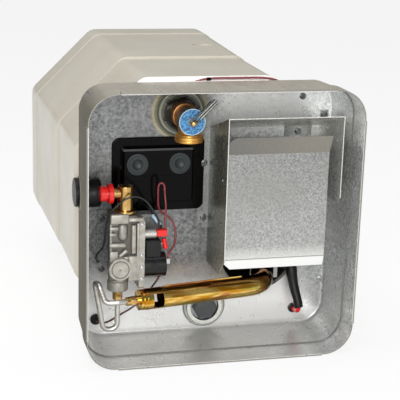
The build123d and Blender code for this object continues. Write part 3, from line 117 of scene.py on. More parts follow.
class Finish:
    def __init__(self, name):
        self.material = bpy.data.materials.new(name)
        self.material.use_nodes = True
        self.tree = self.material.node_tree
        self.shader = self.tree.nodes["Principled BSDF"]
        coordinates = self.add("ShaderNodeTexCoord", {})
        self.where = coordinates["Object"]
        self.turned = coordinates["Normal"]

    def add(self, kind, inputs, **values):
        return addNode(self.tree, kind, inputs, **values)

    def shade(self, inputs):
        feed(self.tree, self.shader, inputs)

    def linked(self, key):
        links = self.shader.inputs[key].links
        return links[0].from_socket if links else None

    def noise(self, scale, detail=3.0, roughness=0.55, stretch=(1, 1, 1)):
        spread = self.add("ShaderNodeMapping", {"Vector": self.where, "Scale": stretch})["Vector"]
        inputs = {"Vector": spread, "Scale": scale, "Detail": detail, "Roughness": roughness}
        return self.add("ShaderNodeTexNoise", inputs)["Fac"]

    def span(self, source, fromLow, fromHigh, low, high):
        limits = {"From Min": fromLow, "From Max": fromHigh, "To Min": low, "To Max": high}
        return self.add("ShaderNodeMapRange", {"Value": source, **limits})["Result"]

    def patches(self, scale, limits, **values):
        return self.span(self.noise(scale, **values), *limits)

    def blend(self, share, first, second):
        inputs = {"Factor": share, 6: first, 7: second}
        return self.add("ShaderNodeMix", inputs, data_type="RGBA")[2]

    def maths(self, operation, first, second=0.0):
        return self.add("ShaderNodeMath", {0: first, 1: second}, operation=operation)["Value"]

    def times(self, colour, share):
        inputs = {0: colour, "Scale": share}
        return self.add("ShaderNodeVectorMath", inputs, operation="SCALE")["Vector"]

    def overlap(self, first, *others):
        for other in others:
            first = self.maths("MULTIPLY", first, other)
        return first

    def bump(self, height, strength, distance):
        # over the bumps that are there already
        inputs = {"Height": height, "Strength": strength, "Distance": distance}
        below = self.linked("Normal")
        if below:
            inputs["Normal"] = below
        self.shade({"Normal": self.add("ShaderNodeBump", inputs)["Normal"]})

    def axis(self, letter):
        return self.add("ShaderNodeSeparateXYZ", {"Vector": self.where})[letter]

    def faceAxis(self, letter):
        return self.add("ShaderNodeSeparateXYZ", {"Vector": self.turned})[letter]

    def reach(self, centre):
        # how far a point lies from an axis that runs from front to back
        x, z = centre
        kind = "ShaderNodeVectorMath"
        offset = self.add(kind, {0: self.where, 1: place(x, 0, z)}, operation="SUBTRACT")["Vector"]
        flat = self.add(kind, {0: offset, 1: (1, 0, 1)}, operation="MULTIPLY")["Vector"]
        return self.add(kind, {0: flat}, operation="LENGTH")["Value"]

    def height(self):
        return self.maths("SUBTRACT", self.axis("Z"), rimHeight * mm)

    def offMiddle(self, operation):
        # the larger or the smaller of the ways across and up from the housing's middle
        across = self.maths("ABSOLUTE", self.axis("X"))
        return self.maths(operation, across, self.maths("ABSOLUTE", self.height()))

    def outward(self):
        # positive where a face turns away from the housing's middle
        return self.maths("ADD", self.maths("MULTIPLY", self.axis("X"), self.faceAxis("X")),
                          self.maths("MULTIPLY", self.height(), self.faceAxis("Z")))

    def mask(self, kind, which, *limits):
        # limits: two values of what is measured, in metres for a place, then the share at each
        sources = {"at": self.axis, "facing": self.faceAxis,
                   "from": self.reach, "off": self.offMiddle}
        return self.span(sources[kind](which), *limits)

    def shareOf(self, *masks):
        return self.overlap(*[self.mask(*mask) for mask in masks])

    def dim(self, share):
        self.shade({"Base Color": self.times(self.linked("Base Color"), share)})

    def cover(self, share, colour):
        self.shade({"Base Color": self.blend(share, self.linked("Base Color"), colour)})

    def tint(self, code, *masks):
        self.cover(self.shareOf(*masks), tone(code))


evenNoise = (0.3, 0.7)                # nearly all of a noise lies between these
plainLook = {"roughScale": 2.3, "grainDetail": 2.0, "grainStrength": 0.35}


def plainFinish(name, base, other, metal=0.0, rough=(0.4, 0.5), patch=60.0, grain=900.0,
                grainDepth=0.00004, coat=0.0, specular=0.5):
    made = Finish(name)
    mottle = made.patches(patch, (*evenNoise, 0.0, 1.0))
    made.shade({
        "Base Color": made.blend(mottle, tone(base), tone(other)),
        "Roughness": made.patches(patch * plainLook["roughScale"], (*evenNoise, *rough)),
        "Metallic": metal, "Coat Weight": coat, "Specular IOR Level": specular,
    })
    height = made.noise(grain, detail=plainLook["grainDetail"])
    made.bump(height, plainLook["grainStrength"], grainDepth)
    return made


zincLook = {
    "speckle": (0.36, 0.64, 0.0, 1.0), "speckleDetail": 4.0, "speckleRoughness": 0.7,
    "cloudScale": 16.0, "cloudDetail": 5.0, "cloud": (0.4, 0.66, 0.0, 0.6),
    "roughScale": 110.0,
    "grainScale": 1.4, "grainStrength": 0.22, "grainDepth": 0.00005,
    "dentScale": 22.0, "dentDetail": 2.0, "dentStrength": 0.2, "dentDepth": 0.0012,
}


def zincFinish(name, base, other, cloudy, metal=0.45, rough=(0.26, 0.36), grain=420.0):
    made = Finish(name)
    setting = zincLook
    speckle = made.patches(grain, setting["speckle"], detail=setting["speckleDetail"],
                           roughness=setting["speckleRoughness"])
    cloud = made.patches(setting["cloudScale"], setting["cloud"], detail=setting["cloudDetail"])
    flakes = made.blend(speckle, tone(other), tone(base))
    made.shade({
        "Base Color": made.blend(cloud, flakes, tone(cloudy)),
        "Roughness": made.patches(setting["roughScale"], (*evenNoise, *rough)),
        "Metallic": metal,
    })
    height = made.noise(grain * setting["grainScale"])
    made.bump(height, setting["grainStrength"], setting["grainDepth"])
    dents = made.noise(setting["dentScale"], detail=setting["dentDetail"])
    made.bump(dents, setting["dentStrength"], setting["dentDepth"])
    return made


frontEdge = ("at", "Y", -0.2474, -0.2471, 1.0, 0.0)
housingSetting = {
    "sheet": {"base": "eceeec", "other": "85888a", "cloudy": "b4b5b2", "grain": 300.0},
    # painted light and shade: the bay's sheet is darkened but for its upper right and its right
    # wall, which are painted lighter
    "bayPaintedShade": 0.37,
    "bayUpper": (("at", "X", -0.005, 0.03, 0.0, 1.45), ("at", "Z", 0.235, 0.26, 0.0, 1.0)),
    "bayWall": (("at", "X", 0.1, 0.155, 0.0, 0.75), ("at", "Z", 0.06, 0.2, 0.55, 1.0)),
    # painted light: the back panel over the flue box is made smooth and light
    "upper": ("fcfcfb", ("at", "X", -0.005, 0.03, 0.0, 0.8), ("at", "X", 0.11, 0.14, 1.0, 0.15),
              ("at", "Z", 0.255, 0.27, 0.0, 1.0)),
    # and painted light low down, less so on its right and lower walls
    "low": ("f6f6f4", ("at", "Z", 0.1034, 0.0434, 0.0, 0.95), ("at", "X", 0.112, 0.15, 1.0, 0.12),
            ("at", "Z", 0.009, 0.014, 0.6, 1.0)),
    # painted reflection and shade: the outside takes a warmer tone than the bay, and its left and
    # its corner a darker tone and a rougher finish than its top
    "outward": (0.01, 0.03, 0.0, 1.0),
    "outside": ("off", "MAXIMUM", 0.150, 0.152, 0.0, 1.0),
    "left": ("facing", "X", -0.9, -0.25, 1.0, 0.0),
    "outerPaintedReflection": "c3bcac",
    "leftPaintedShade": "6e6a5f",
    "leftRough": 0.8,
    "streakScale": 70.0, "streak": (0.35, 0.65, 0.9, 1.05), "streakStretch": (1.0, 0.15, 1.0),
    "stain": ("a89d7e", ("from", reliefAxis, 0.0335, 0.0365, 0.75, 0.0)),
    # painted shade: a dark line along the front faces of the step
    "step": ("6a6964", ("at", "Y", -0.2138, -0.2134, 0.0, 0.85),
             ("at", "Y", -0.2118, -0.2114, 1.0, 0.0), ("facing", "Y", -0.5, -0.15, 1.0, 0.0)),
    # the folded front edge takes a darker tone, with a painted highlight along its four straight
    # runs
    "edge": ("8d8b84", frontEdge),
    "rim": ("e9e6df", frontEdge, ("off", "MINIMUM", 0.125, 0.1255, 1.0, 0.0),
            ("off", "MAXIMUM", 0.1614, 0.1616, 1.0, 0.0)),
}


def housingFinish(name, setting):
    made = zincFinish(name, **setting["sheet"])
    upper, wall = made.shareOf(*setting["bayUpper"]), made.shareOf(*setting["bayWall"])
    # painted shade over the bay, with painted light at its upper right and on its right wall
    made.dim(made.maths("ADD", made.maths("MAXIMUM", upper, wall), setting["bayPaintedShade"]))
    # painted light on the panel over the flue box and low down in the bay
    made.tint(*setting["upper"])
    made.tint(*setting["low"])
    streak = made.patches(setting["streakScale"], setting["streak"],
                          stretch=setting["streakStretch"])
    outer = made.overlap(made.span(made.outward(), *setting["outward"]),
                         made.mask(*setting["outside"]))
    left = made.overlap(outer, made.mask(*setting["left"]))
    # painted reflection on the outside and painted shade on its left faces
    for share, code in ((outer, setting["outerPaintedReflection"]), (left, setting["leftPaintedShade"])):
        made.cover(share, made.times(tone(code)[:3], streak))
    # a stain, then painted shade along the step and a painted highlight along the front edge
    for layer in ("stain", "step", "edge", "rim"):
        made.tint(*setting[layer])
    dull = made.maths("MULTIPLY", left, setting["leftRough"])
    made.shade({"Roughness": made.maths("MAXIMUM", made.linked("Roughness"), dull)})
    return made


plateSetting = {
    "sheet": {"base": "b1b1ae", "other": "7c7d7e", "cloudy": "93938f", "metal": 0.6,
              "rough": (0.28, 0.36), "grain": 460.0},
    # painted light: the plate is brighter towards its foot and takes a lighter tone just above the
    # toe
    "shade": ("at", "Z", 0.1205, 0.24, 1.3, 0.95),
    "glow": ("e2e2df", ("at", "Z", 0.1215, 0.137, 0.75, 0.0)),
    # painted reflection: the lip takes a darker tone, lighter towards its right, with a grain
    "lip": ("at", "Z", 0.2481, 0.2489, 0.0, 1.0),
    "lipPaintedReflection": ("75746f", "89857c"),
    "lipAcross": ("at", "X", 0.0, 0.1, 0.0, 1.0),
    "lipGrain": (500.0, (*evenNoise, 0.94, 1.1)),
    # painted shade: a dark line along the bend above the toe
    "creasePaintedShade": ("7c7b76", ("at", "Z", 0.1206, 0.1208, 0.0, 0.8),
               ("at", "Z", 0.1216, 0.1218, 1.0, 0.0)),
    # painted highlight on the toe
    "toe": ("f4f4f2", ("at", "Z", 0.1201, 0.1206, 1.0, 0.0)),
}


def plateFinish(name, setting):
    made = zincFinish(name, **setting["sheet"])
    # painted light low on the plate, painted reflection on the lip, painted shade along the crease
    # and a painted highlight on the toe
    made.dim(made.mask(*setting["shade"]))
    made.tint(*setting["glow"])
    paintedSheen = made.blend(made.mask(*setting["lipAcross"]), *map(tone, setting["lipPaintedReflection"]))
    made.cover(made.mask(*setting["lip"]), made.times(paintedSheen, made.patches(*setting["lipGrain"])))
    made.tint(*setting["creasePaintedShade"])
    made.tint(*setting["toe"])
    return made


ringSettings = {
    "tankFront": {"centre": reliefAxis, "dark": "2a251c", "bands": ((27.0, "b9bcbe"),)},
    "reliefRing": {
        "centre": reliefAxis, "dark": "14110e",
        "bands": ((17.6, "1a1a16"), (21.4, "55574a"), (24.4, "8d9082"), (26.6, "4b4c40"),
                  (29.2, "8f8d77")),
    },
    "drainRing": {
        "centre": drainAxis, "dark": "2b2c2c",
        "bands": ((17.9, "e6e6e0"), (22.4, "7c7f7a"), (23.2, "b9bab4"), (25.6, "84877f")),
    },
}
ringLook = {
    "blur": 0.25, "metal": 0.2,
    "dust": "4b4a44", "dustScale": 240.0, "dustShare": (0.35, 0.65, 0.0, 0.22),
    "roughScale": 130.0, "rough": (*evenNoise, 0.3, 0.42),
    "grainScale": 700.0, "grainDetail": 2.0, "grainStrength": 0.3, "grainDepth": 0.00005,
}


def ringFinish(name, centre, dark, bands):
    # each band starts at its radius and reaches to the next
    made = Finish(name)
    setting = ringLook
    reach = made.reach(centre)
    colour = tone(dark)
    for radius, code in bands:
        limits = ((radius - setting["blur"]) * mm, (radius + setting["blur"]) * mm)
        colour = made.blend(made.span(reach, *limits, 0.0, 1.0), colour, tone(code))
    dust = made.patches(setting["dustScale"], setting["dustShare"])
    made.shade({
        "Base Color": made.blend(dust, colour, tone(setting["dust"])),
        "Roughness": made.patches(setting["roughScale"], setting["rough"]),
        "Metallic": setting["metal"],
    })
    height = made.noise(setting["grainScale"], detail=setting["grainDetail"])
    made.bump(height, setting["grainStrength"], setting["grainDepth"])
    return made


chromateSetting = {
    "gold": "ffdc80",
    # colour, scale, limits, detail and stretch
    "streaks": [
        ("c88a20", 90.0, (0.4, 0.6, 0.0, 1.0), 3.0, (0.12, 1.6, 1.6)),
        ("a9572c", 60.0, (0.5, 0.62, 0.0, 0.8), 2.0, (0.12, 1.6, 1.6)),
        ("8f9440", 75.0, (0.56, 0.66, 0.0, 0.7), 2.0, (0.1, 1.4, 1.8)),
    ],
    # painted reflection: faces turned up take a reddish brown, faces turned down a yellow-green
    "top": ("b8713c", ("facing", "Z", 0.4, 0.85, 0.0, 0.7)),
    "under": ("b79c3a", ("facing", "Z", -0.8, -0.3, 0.6, 0.0)),
    # sooty towards the flue, with an uneven border
    "heat": ("at", "X", 0.052, 0.086, 0.0, 1.0),
    "heatScale": 30.0, "heatPatches": (*evenNoise, -0.3, 0.3),
    "soot": "3a2418", "sootShare": (0.25, 1.0, 0.0, 0.92),
    "roughScale": 60.0, "rough": (*evenNoise, 0.1, 0.2),
    "waveScale": 60.0, "waveDetail": 2.0, "waveStretch": (0.15, 1.0, 1.0),
    "waveStrength": 0.4, "waveDepth": 0.001,
}


def chromateFinish(name, setting):
    made = Finish(name)
    gold = tone(setting["gold"])
    for code, scale, limits, detail, stretch in setting["streaks"]:
        streak = made.patches(scale, limits, detail=detail, stretch=stretch)
        gold = made.blend(streak, gold, tone(code))
    made.shade({
        "Base Color": gold, "Metallic": 1.0,
        "Roughness": made.patches(setting["roughScale"], setting["rough"]),
    })
    made.tint(*setting["top"])
    made.tint(*setting["under"])
    heat = made.maths("ADD", made.mask(*setting["heat"]),
                      made.patches(setting["heatScale"], setting["heatPatches"]))
    made.cover(made.span(heat, *setting["sootShare"]), tone(setting["soot"]))
    waves = made.noise(setting["waveScale"], detail=setting["waveDetail"],
                       stretch=setting["waveStretch"])
    made.bump(waves, setting["waveStrength"], setting["waveDepth"])
    return made


tagSetting = {
    "paint": {"base": "06408c", "other": "66b4e0", "rough": (0.25, 0.35), "patch": 420.0},
    "fleckScale": 800.0, "fleckDetail": 2.0, "fleck": (0.42, 0.58, 0.45, 1.15),
    "rim": ("9fc3d8", ("from", reliefAxis, 0.0144, 0.0148, 0.0, 1.0)),
    "eye": ("8d8a6c", ("from", reliefAxis, 0.0045, 0.0055, 0.8, 0.0)),
}


def tagFinish(name, setting):
    made = plainFinish(name, **setting["paint"])
    made.dim(made.patches(setting["fleckScale"], setting["fleck"], detail=setting["fleckDetail"]))
    made.tint(*setting["rim"])
    made.tint(*setting["eye"])
    return made


leverSetting = {
    "steel": {"base": "7c7e79", "other": "5e605c", "metal": 0.8, "rough": (0.25, 0.4),
              "patch": 200.0},
    # painted shade in the grooves
    "grooveScale": 1500.0, "groove": (-0.2, 0.6, 0.85, 0.0), "grooveShadeTone": "2c2d2c",
    "grooveStrength": 0.4, "grooveDepth": 0.0005,
}


def leverFinish(name, setting):
    # pressed with grooves that run along it, with painted shade in them
    made = plainFinish(name, **setting["steel"])
    across = made.maths("SUBTRACT", made.axis("X"), made.axis("Z"))
    wave = made.maths("SINE", made.maths("MULTIPLY", across, setting["grooveScale"]))
    made.cover(made.span(wave, *setting["groove"]), tone(setting["grooveShadeTone"]))
    made.bump(wave, setting["grooveStrength"], setting["grooveDepth"])
    return made


tintedSettings = {
    "boxSheet": {
        "kind": zincFinish,
        "under": {"base": "aeaa9a", "other": "8b897c", "cloudy": "95927f", "metal": 0.7,
                  "rough": (0.24, 0.32), "grain": 300.0},
        # painted shade deeper back in the box
        "rear": ("4e544c", ("at", "Y", -0.222, -0.168, 0.0, 0.85)),
        "foot": ("a0a19e", ("at", "Y", -0.157, -0.155, 0.0, 1.0)),
        # painted light on faces turned left in the box's right part and on faces turned down
        "wall": ("f0f1ec", ("facing", "X", -0.9, -0.5, 0.85, 0.0),
                 ("at", "X", 0.05, 0.06, 0.0, 1.0)),
        "roofPaintedLight": ("f6f5f0", ("facing", "Z", -0.9, -0.5, 0.85, 0.0)),
        # painted highlight along the front edges
        "edge": ("e4e2db", ("at", "Y", -0.2350, -0.2345, 1.0, 0.0)),
    },
    "jacketShell": {
        "kind": plainFinish,
        "under": {"base": "c6c1b3", "other": "beb8a8", "rough": (0.3, 0.42), "patch": 9.0,
                  "grain": 260.0, "grainDepth": 0.0001, "coat": 0.25},
        # painted highlight on the upper front shoulder
        "shoulderPaintedHighlight": ("fbfaf7", ("facing", "Y", -0.2, -0.4, 0.0, 1.0),
                     ("at", "Z", 0.30, 0.31, 0.0, 1.0), ("at", "Y", -0.132, -0.128, 1.0, 0.0)),
    },
    "coverPlastic": {
        "kind": plainFinish,
        "under": {"base": "050404", "other": "080606", "rough": (0.1, 0.16), "specular": 0.1,
                  "grainDepth": 0.000004},
        # painted highlight on the upward chamfer
        "bevelPaintedHighlight": ("5a5a5c", ("facing", "Z", 0.2, 0.4, 0.0, 1.0),
                  ("facing", "Z", 0.9, 0.97, 1.0, 0.0)),
    },
    # a blasted casting, with painted shade in its hollows: darker the further back a face lies,
    # and in the groove round the boss
    "valveCasting": {
        "kind": plainFinish,
        "under": {"base": "b2afa6", "other": "938f85", "metal": 0.4, "rough": (0.34, 0.46),
                  "patch": 150.0, "grain": 1500.0, "grainDepth": 0.00006},
        "hollowPaintedShade": ("55524a", ("at", "Y", -0.2128, -0.2085, 0.0, 0.92),
                   ("at", "Z", 0.0955, 0.0965, 0.25, 1.0)),
        # painted shade in the groove round the boss
        "ring": ("5d574f", ("from", bossAxis, 0.0093, 0.0096, 0.0, 0.8),
                 ("from", bossAxis, 0.0104, 0.0107, 1.0, 0.0)),
    },
}


def tintedFinish(name, kind, under, **tints):
    made = kind(name, **under)
    for tint in tints.values():
        made.tint(*tint)
    return made


plainSettings = {
    "foamBoard": {"base": "c2bcab", "other": "b8b2a0", "rough": (0.8, 0.95)},
    "tankMetal": {"base": "b9bcbe", "other": "a9acb0", "metal": 0.9},
    "flueMetal": {"base": "14110f", "other": "1f1b18", "metal": 0.3, "rough": (0.6, 0.8)},
    "yellowBrass": {"base": "dfbc7c", "other": "bf9450", "metal": 1.0, "rough": (0.16, 0.3),
                    "patch": 120.0},
    "valveBrass": {"base": "e6ae5a", "other": "bd7e34", "metal": 0.8, "rough": (0.34, 0.48)},
    "darkCopper": {"base": "94683f", "other": "6b4729", "metal": 0.9, "rough": (0.25, 0.4),
                   "patch": 90.0},
    "softAluminium": {"base": "d5d3cc", "other": "bdbbb4", "metal": 0.85, "rough": (0.26, 0.38),
                      "patch": 180.0},
    "brightSteel": {"base": "d4d6d6", "other": "b9bcbd", "metal": 0.9, "rough": (0.18, 0.32),
                    "patch": 200.0},
    "screwSteel": {"base": "8b9092", "other": "54585a", "metal": 0.9, "rough": (0.18, 0.34),
                   "patch": 520.0},
    "satinSteel": {"base": "cfcdc7", "other": "c2bfb8", "metal": 0.7, "rough": (0.3, 0.38),
                   "patch": 30.0, "grainDepth": 0.00001},
    "plateCasting": {"base": "b2aea4", "other": "948f86", "metal": 0.4, "rough": (0.34, 0.46),
                     "patch": 150.0, "grain": 1500.0, "grainDepth": 0.00006},
    "blackRubber": {"base": "0c0c0c", "other": "141414", "rough": (0.35, 0.5), "specular": 0.3},
    "greyRubber": {"base": "23292a", "other": "2c3233", "rough": (0.35, 0.5), "specular": 0.35},
    "blackPlastic": {"base": "050404", "other": "080606", "rough": (0.1, 0.16), "specular": 0.1,
                     "grainDepth": 0.000004},
    "coilPlastic": {"base": "070707", "other": "0d0d0d", "rough": (0.22, 0.34), "specular": 0.4,
                    "grainDepth": 0.00001},
    "redPlastic": {"base": "e8201b", "other": "d31712", "rough": (0.2, 0.32), "coat": 0.3},
    "plugPlastic": {"base": "4c4e4e", "other": "3b3d3e", "rough": (0.35, 0.5)},
    "whiteCeramic": {"base": "ece9e2", "other": "dfdbd1", "rough": (0.2, 0.3)},
    "redLead": {"base": "8a3233", "other": "6e2427", "rough": (0.3, 0.42), "patch": 200.0},
    "powerLead": {"base": "8c4a4e", "other": "7c3a40", "rough": (0.35, 0.45), "patch": 200.0},
    "blackLead": {"base": "0d0d0e", "other": "171718", "rough": (0.22, 0.34), "patch": 200.0},
    "greyLead": {"base": "1c1b1b", "other": "2c2b2a", "rough": (0.22, 0.34), "patch": 200.0},
    "supplyLead": {"base": "3a2222", "other": "5a2c2c", "rough": (0.3, 0.42), "patch": 120.0},
    "bluishSleeve": {"base": "8fb0cc", "other": "b4cbdd", "rough": (0.3, 0.4), "patch": 200.0},
}

finishes = {name: plainFinish(name, **setting) for name, setting in plainSettings.items()}
finishes.update({name: ringFinish(name, **setting) for name, setting in ringSettings.items()})
finishes.update({name: tintedFinish(name, **setting) for name, setting in tintedSettings.items()})
finishes.update({
    "zincSheet": housingFinish("zincSheet", housingSetting),
    "plateSheet": plateFinish("plateSheet", plateSetting),
    "goldChromate": chromateFinish("goldChromate", chromateSetting),
    "blueTag": tagFinish("blueTag", tagSetting),
    "leverSteel": leverFinish("leverSteel", leverSetting),
})

finishedNodes = {
    "zincSheet": ["control_housing", "valve_bracket"],
    "boxSheet": ["flue_box", "electrode_clip"],
    "plateSheet": ["exhaust_deflector"],
    "jacketShell": ["jacket_front_shell", "jacket_rear_shell"],
    "foamBoard": ["foam_front", "foam_rear"],
    "tankFront": ["tank_shell"],
    "tankMetal": ["drain_spud"],
    "flueMetal": ["flue_tube"],
    "softAluminium": ["anode_rod", "manifold_tube"],
    "screwSteel": ["deflector_rivets", "housing_screws"],
    "brightSteel": ["hot_nipple", "cold_nipple", "relief_spring", "lever_pin", "valve_screws",
                    "solenoid_plunger", "electrode_tip", "coil_terminals"],
    "satinSteel": ["core_tube"],
    "drainRing": ["drain_port_ring"],
    "reliefRing": ["relief_port_ring"],
    "blackRubber": ["spark_boot", "gas_line_grommet", "wire_grommets"],
    "greyRubber": ["reset_button_left", "reset_button_right"],
    "plugPlastic": ["drain_plug"],
    "valveBrass": ["relief_nipple", "relief_valve_body"],
    "yellowBrass": ["relief_stem", "inlet_elbow", "manifold_nut", "orifice_holder"],
    "blueTag": ["relief_tag"],
    "leverSteel": ["relief_lever"],
    "blackPlastic": ["reset_base", "limit_switch_left", "limit_switch_right"],
    "coverPlastic": ["reset_cover"],
    "coilPlastic": ["solenoid_coil", "coil_block"],
    "redPlastic": ["terminal_boots", "inlet_cap", "spark_lead_end"],
    "plateCasting": ["valve_side_plate"],
    "valveCasting": ["gas_valve_body"],
    "goldChromate": ["burner_collar", "burner_tube"],
    "whiteCeramic": ["electrode_insulator"],
}
for finishName, names in finishedNodes.items():
    for name in names:
        for materialSlot in cadNodes[name].material_slots:
            materialSlot.material = finishes[finishName].material
print("heater: finishes on", sum(map(len, finishedNodes.values())), "nodes")


def addCurve(name, line, depth, bevelResolution, resolution):
    # a smooth round line, as thick as its share of the depth at each point
    curve = bpy.data.curves.new(name, "CURVE")
    curve.dimensions = "3D"
    curve.bevel_depth = depth * mm
    curve.bevel_resolution = bevelResolution
    curve.resolution_u = resolution
    curve.use_fill_caps = True
    spline = curve.splines.new("NURBS")
    spline.points.add(len(line) - 1)
    for point, (x, y, z, share) in zip(spline.points, line):
        point.co = (*place(x, y, z), 1)
        point.radius = share
    spline.order_u = 3
    spline.use_endpoint_u = True
    piece = bpy.data.objects.new(name, curve)
    bpy.context.scene.collection.objects.link(piece)
    return piece


def addCord(name, setting):
    route = setting["route"]
    line = [(*spot, 1.0) for spot in route]
    lead = addCurve(name, line, setting["diameter"] / 2, bevelResolution=4, resolution=10)
    lead.data.materials.append(finishes[setting["finish"]].material)
    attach(lead, "heater")
    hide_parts(setting["replaces"])


leadSettings = {
    "groundLead": {
        "replaces": "ground_lead", "finish": "greyLead", "slot": "grey_lead",
        "length": 197.1, "diameter": 2.4, "stiffness": "medium",
        "route": [
            (-69.5, 48, -9), (-69.7, 47.6, -4), (-71, 45.5, 4), (-78, 43, 16), (-87, 39, 29),
            (-99, 35.5, 36.5), (-111.5, 34.5, 34.5), (-121.5, 37, 26), (-130.8, 41, 14.5),
            (-133.2, 45, 1), (-133.4, 48, -13), (-134, 53, -27), (-137, 64, -38),
            (-139.8, 76, -47.5), (-138, 84, -55.5), (-134.4, 89.4, -60), (-133, 94.3, -60.6),
        ],
    },
    "sensorLead": {
        "replaces": "sensor_lead", "finish": "blackLead", "slot": "black_lead",
        "length": 65.9, "diameter": 2.4, "stiffness": "medium",
        "route": [
            (-86, 92.8, 8), (-86.1, 88.3, 8.3), (-86.4, 83.5, 10.8), (-86, 75, 15.5),
            (-82.5, 64, 17), (-77, 55.5, 10.5), (-70.6, 52, 2.6), (-66.4, 52.2, -3.6),
            (-66, 52, -9),
        ],
    },
    "jumperLead": {
        "replaces": "jumper_lead", "finish": "redLead", "slot": "red_lead",
        "length": 161.7, "diameter": 2.4, "stiffness": "medium",
        "route": [
            (-62.4, 50, -9), (-62.3, 50.2, -3.6), (-61, 52.6, 4), (-59.8, 56.5, 14.5),
            (-60.2, 60, 26), (-60.8, 61.2, 34.5), (-61, 61.8, 40.2), (-62.9, 62.2, 43.4),
            (-66.1, 62.6, 43.4), (-68.1, 63, 40.2), (-68.3, 63.3, 34), (-68, 63.8, 26),
            (-67.8, 64.6, 16), (-64.5, 66, 7.5), (-57.5, 66, 2.8), (-50.5, 64.5, -3),
            (-46.8, 61, -13), (-47.2, 57, -25), (-50, 53.5, -32), (-55.2, 49.2, -36.6),
            (-57.9, 47, -40.6), (-58.5, 46.5, -45.3),
        ],
    },
    "supplyLead": {
        "replaces": "supply_lead", "finish": "supplyLead", "slot": "grey_lead",
        "length": 120.9, "diameter": 2.4, "stiffness": "medium",
        "route": [
            (-136.4, 92, -135.2), (-136.3, 88, -135.2), (-133.9, 83.2, -135.6),
            (-128.6, 79.8, -135.2), (-120.5, 77.8, -131.5), (-110.5, 75.5, -124),
            (-97, 74.5, -116.5), (-84, 75, -107), (-75, 75.5, -96.5), (-70, 70.5, -85.5),
            (-67.4, 63, -77.5), (-66.2, 57.6, -71), (-66, 55.4, -65.5),
        ],
    },
    "powerLead": {
        "replaces": "power_lead", "finish": "powerLead", "slot": "red_lead",
        "length": 148.0, "diameter": 2.6, "stiffness": "medium",
        "route": [
            (-36, 99.6, 140), (-30, 99.6, 148.5), (-19, 99.9, 156.4), (-4, 100.2, 159.9),
            (14, 100.3, 160.6), (34, 100.3, 160.2), (54, 100.3, 160.4), (72, 100.4, 159.8),
            (86, 100.4, 156.4), (94, 100.2, 150), (98, 99.8, 142.4),
        ],
    },
}
for name, setting in leadSettings.items():
    addCord(name, setting)
print("heater: leads laid")


def addBlock(low, high, softness):
    bpy.ops.object.select_all(action="DESELECT")
    first, last = place(*low), place(*high)
    bpy.ops.mesh.primitive_cube_add(size=1, location=(first + last) / 2)
    block = bpy.context.object
    block.scale = last - first
    bpy.ops.object.transform_apply(location=True, rotation=True, scale=True)
    softenEdges(block, softness)
    return block


def addRod(start, end, radius, softness=0.0, sides=48):
    bpy.ops.object.select_all(action="DESELECT")
    first, last = place(*start), place(*end)
    turn = (last - first).to_track_quat("Z", "Y").to_euler()
    bpy.ops.mesh.primitive_cylinder_add(
        vertices=sides, radius=radius * mm, depth=(last - first).length,
        location=(first + last) / 2, rotation=turn)
    rod = bpy.context.object
    bpy.ops.object.transform_apply(location=True, rotation=True, scale=True)
    softenEdges(rod, softness)
    return rod


ringShape = {"sides": 32, "halfHole": 1, "edgeShare": 0.6}


def addRing(centre, radius, thickness):
    # a pressed ring that lies on the bay's back panel
    x, y, z = centre
    sides, halfHole = ringShape["sides"], ringShape["halfHole"]
    ring = addRod((x, y - thickness, z), (x, y + thickness, z), radius + thickness, sides=sides)
    hole = addRod((x, y - halfHole, z), (x, y + halfHole, z), radius - thickness, sides=sides)
    cutAway(ring, hole)
    softenEdges(ring, ringShape["edgeShare"] * thickness)
    return ring


def softenEdges(piece, softness):
    if not softness:
        return
    edge = piece.modifiers.new("edge", "BEVEL")
    edge.width = softness * mm
    edge.segments = edgeSegments
    edge.limit_method = "ANGLE"
    bpy.ops.object.modifier_apply(modifier=edge.name)


def cutAway(piece, tool):
    cut = piece.modifiers.new("cut", "BOOLEAN")
    cut.operation = "DIFFERENCE"
    cut.object = tool
    bpy.ops.object.select_all(action="DESELECT")
    bpy.context.view_layer.objects.active = piece
    bpy.ops.object.modifier_apply(modifier=cut.name)
    bpy.data.objects.remove(tool)


def addParts(setting):
    parts = [addBlock(*block) for block in setting.get("blocks", ())]
    parts += [addRod(*rod) for rod in setting.get("rods", ())]
    parts += [addRing(*ring) for ring in setting.get("rings", ())]
    return parts


def joinPieces(pieces, name):
    bpy.ops.object.select_all(action="DESELECT")
    for piece in pieces:
        piece.select_set(True)
    bpy.context.view_layer.objects.active = pieces[0]
    if len(pieces) > 1:
        bpy.ops.object.join()
    whole = bpy.context.object
    whole.name = name
    bpy.ops.object.shade_smooth_by_angle(angle=smoothAngle)
    return whole


def settle(piece, finish, replaced=()):
    piece.data.materials.clear()
    piece.data.materials.append(finishes[finish].material)
    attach(piece, "heater")
    if replaced:
        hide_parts(*replaced)


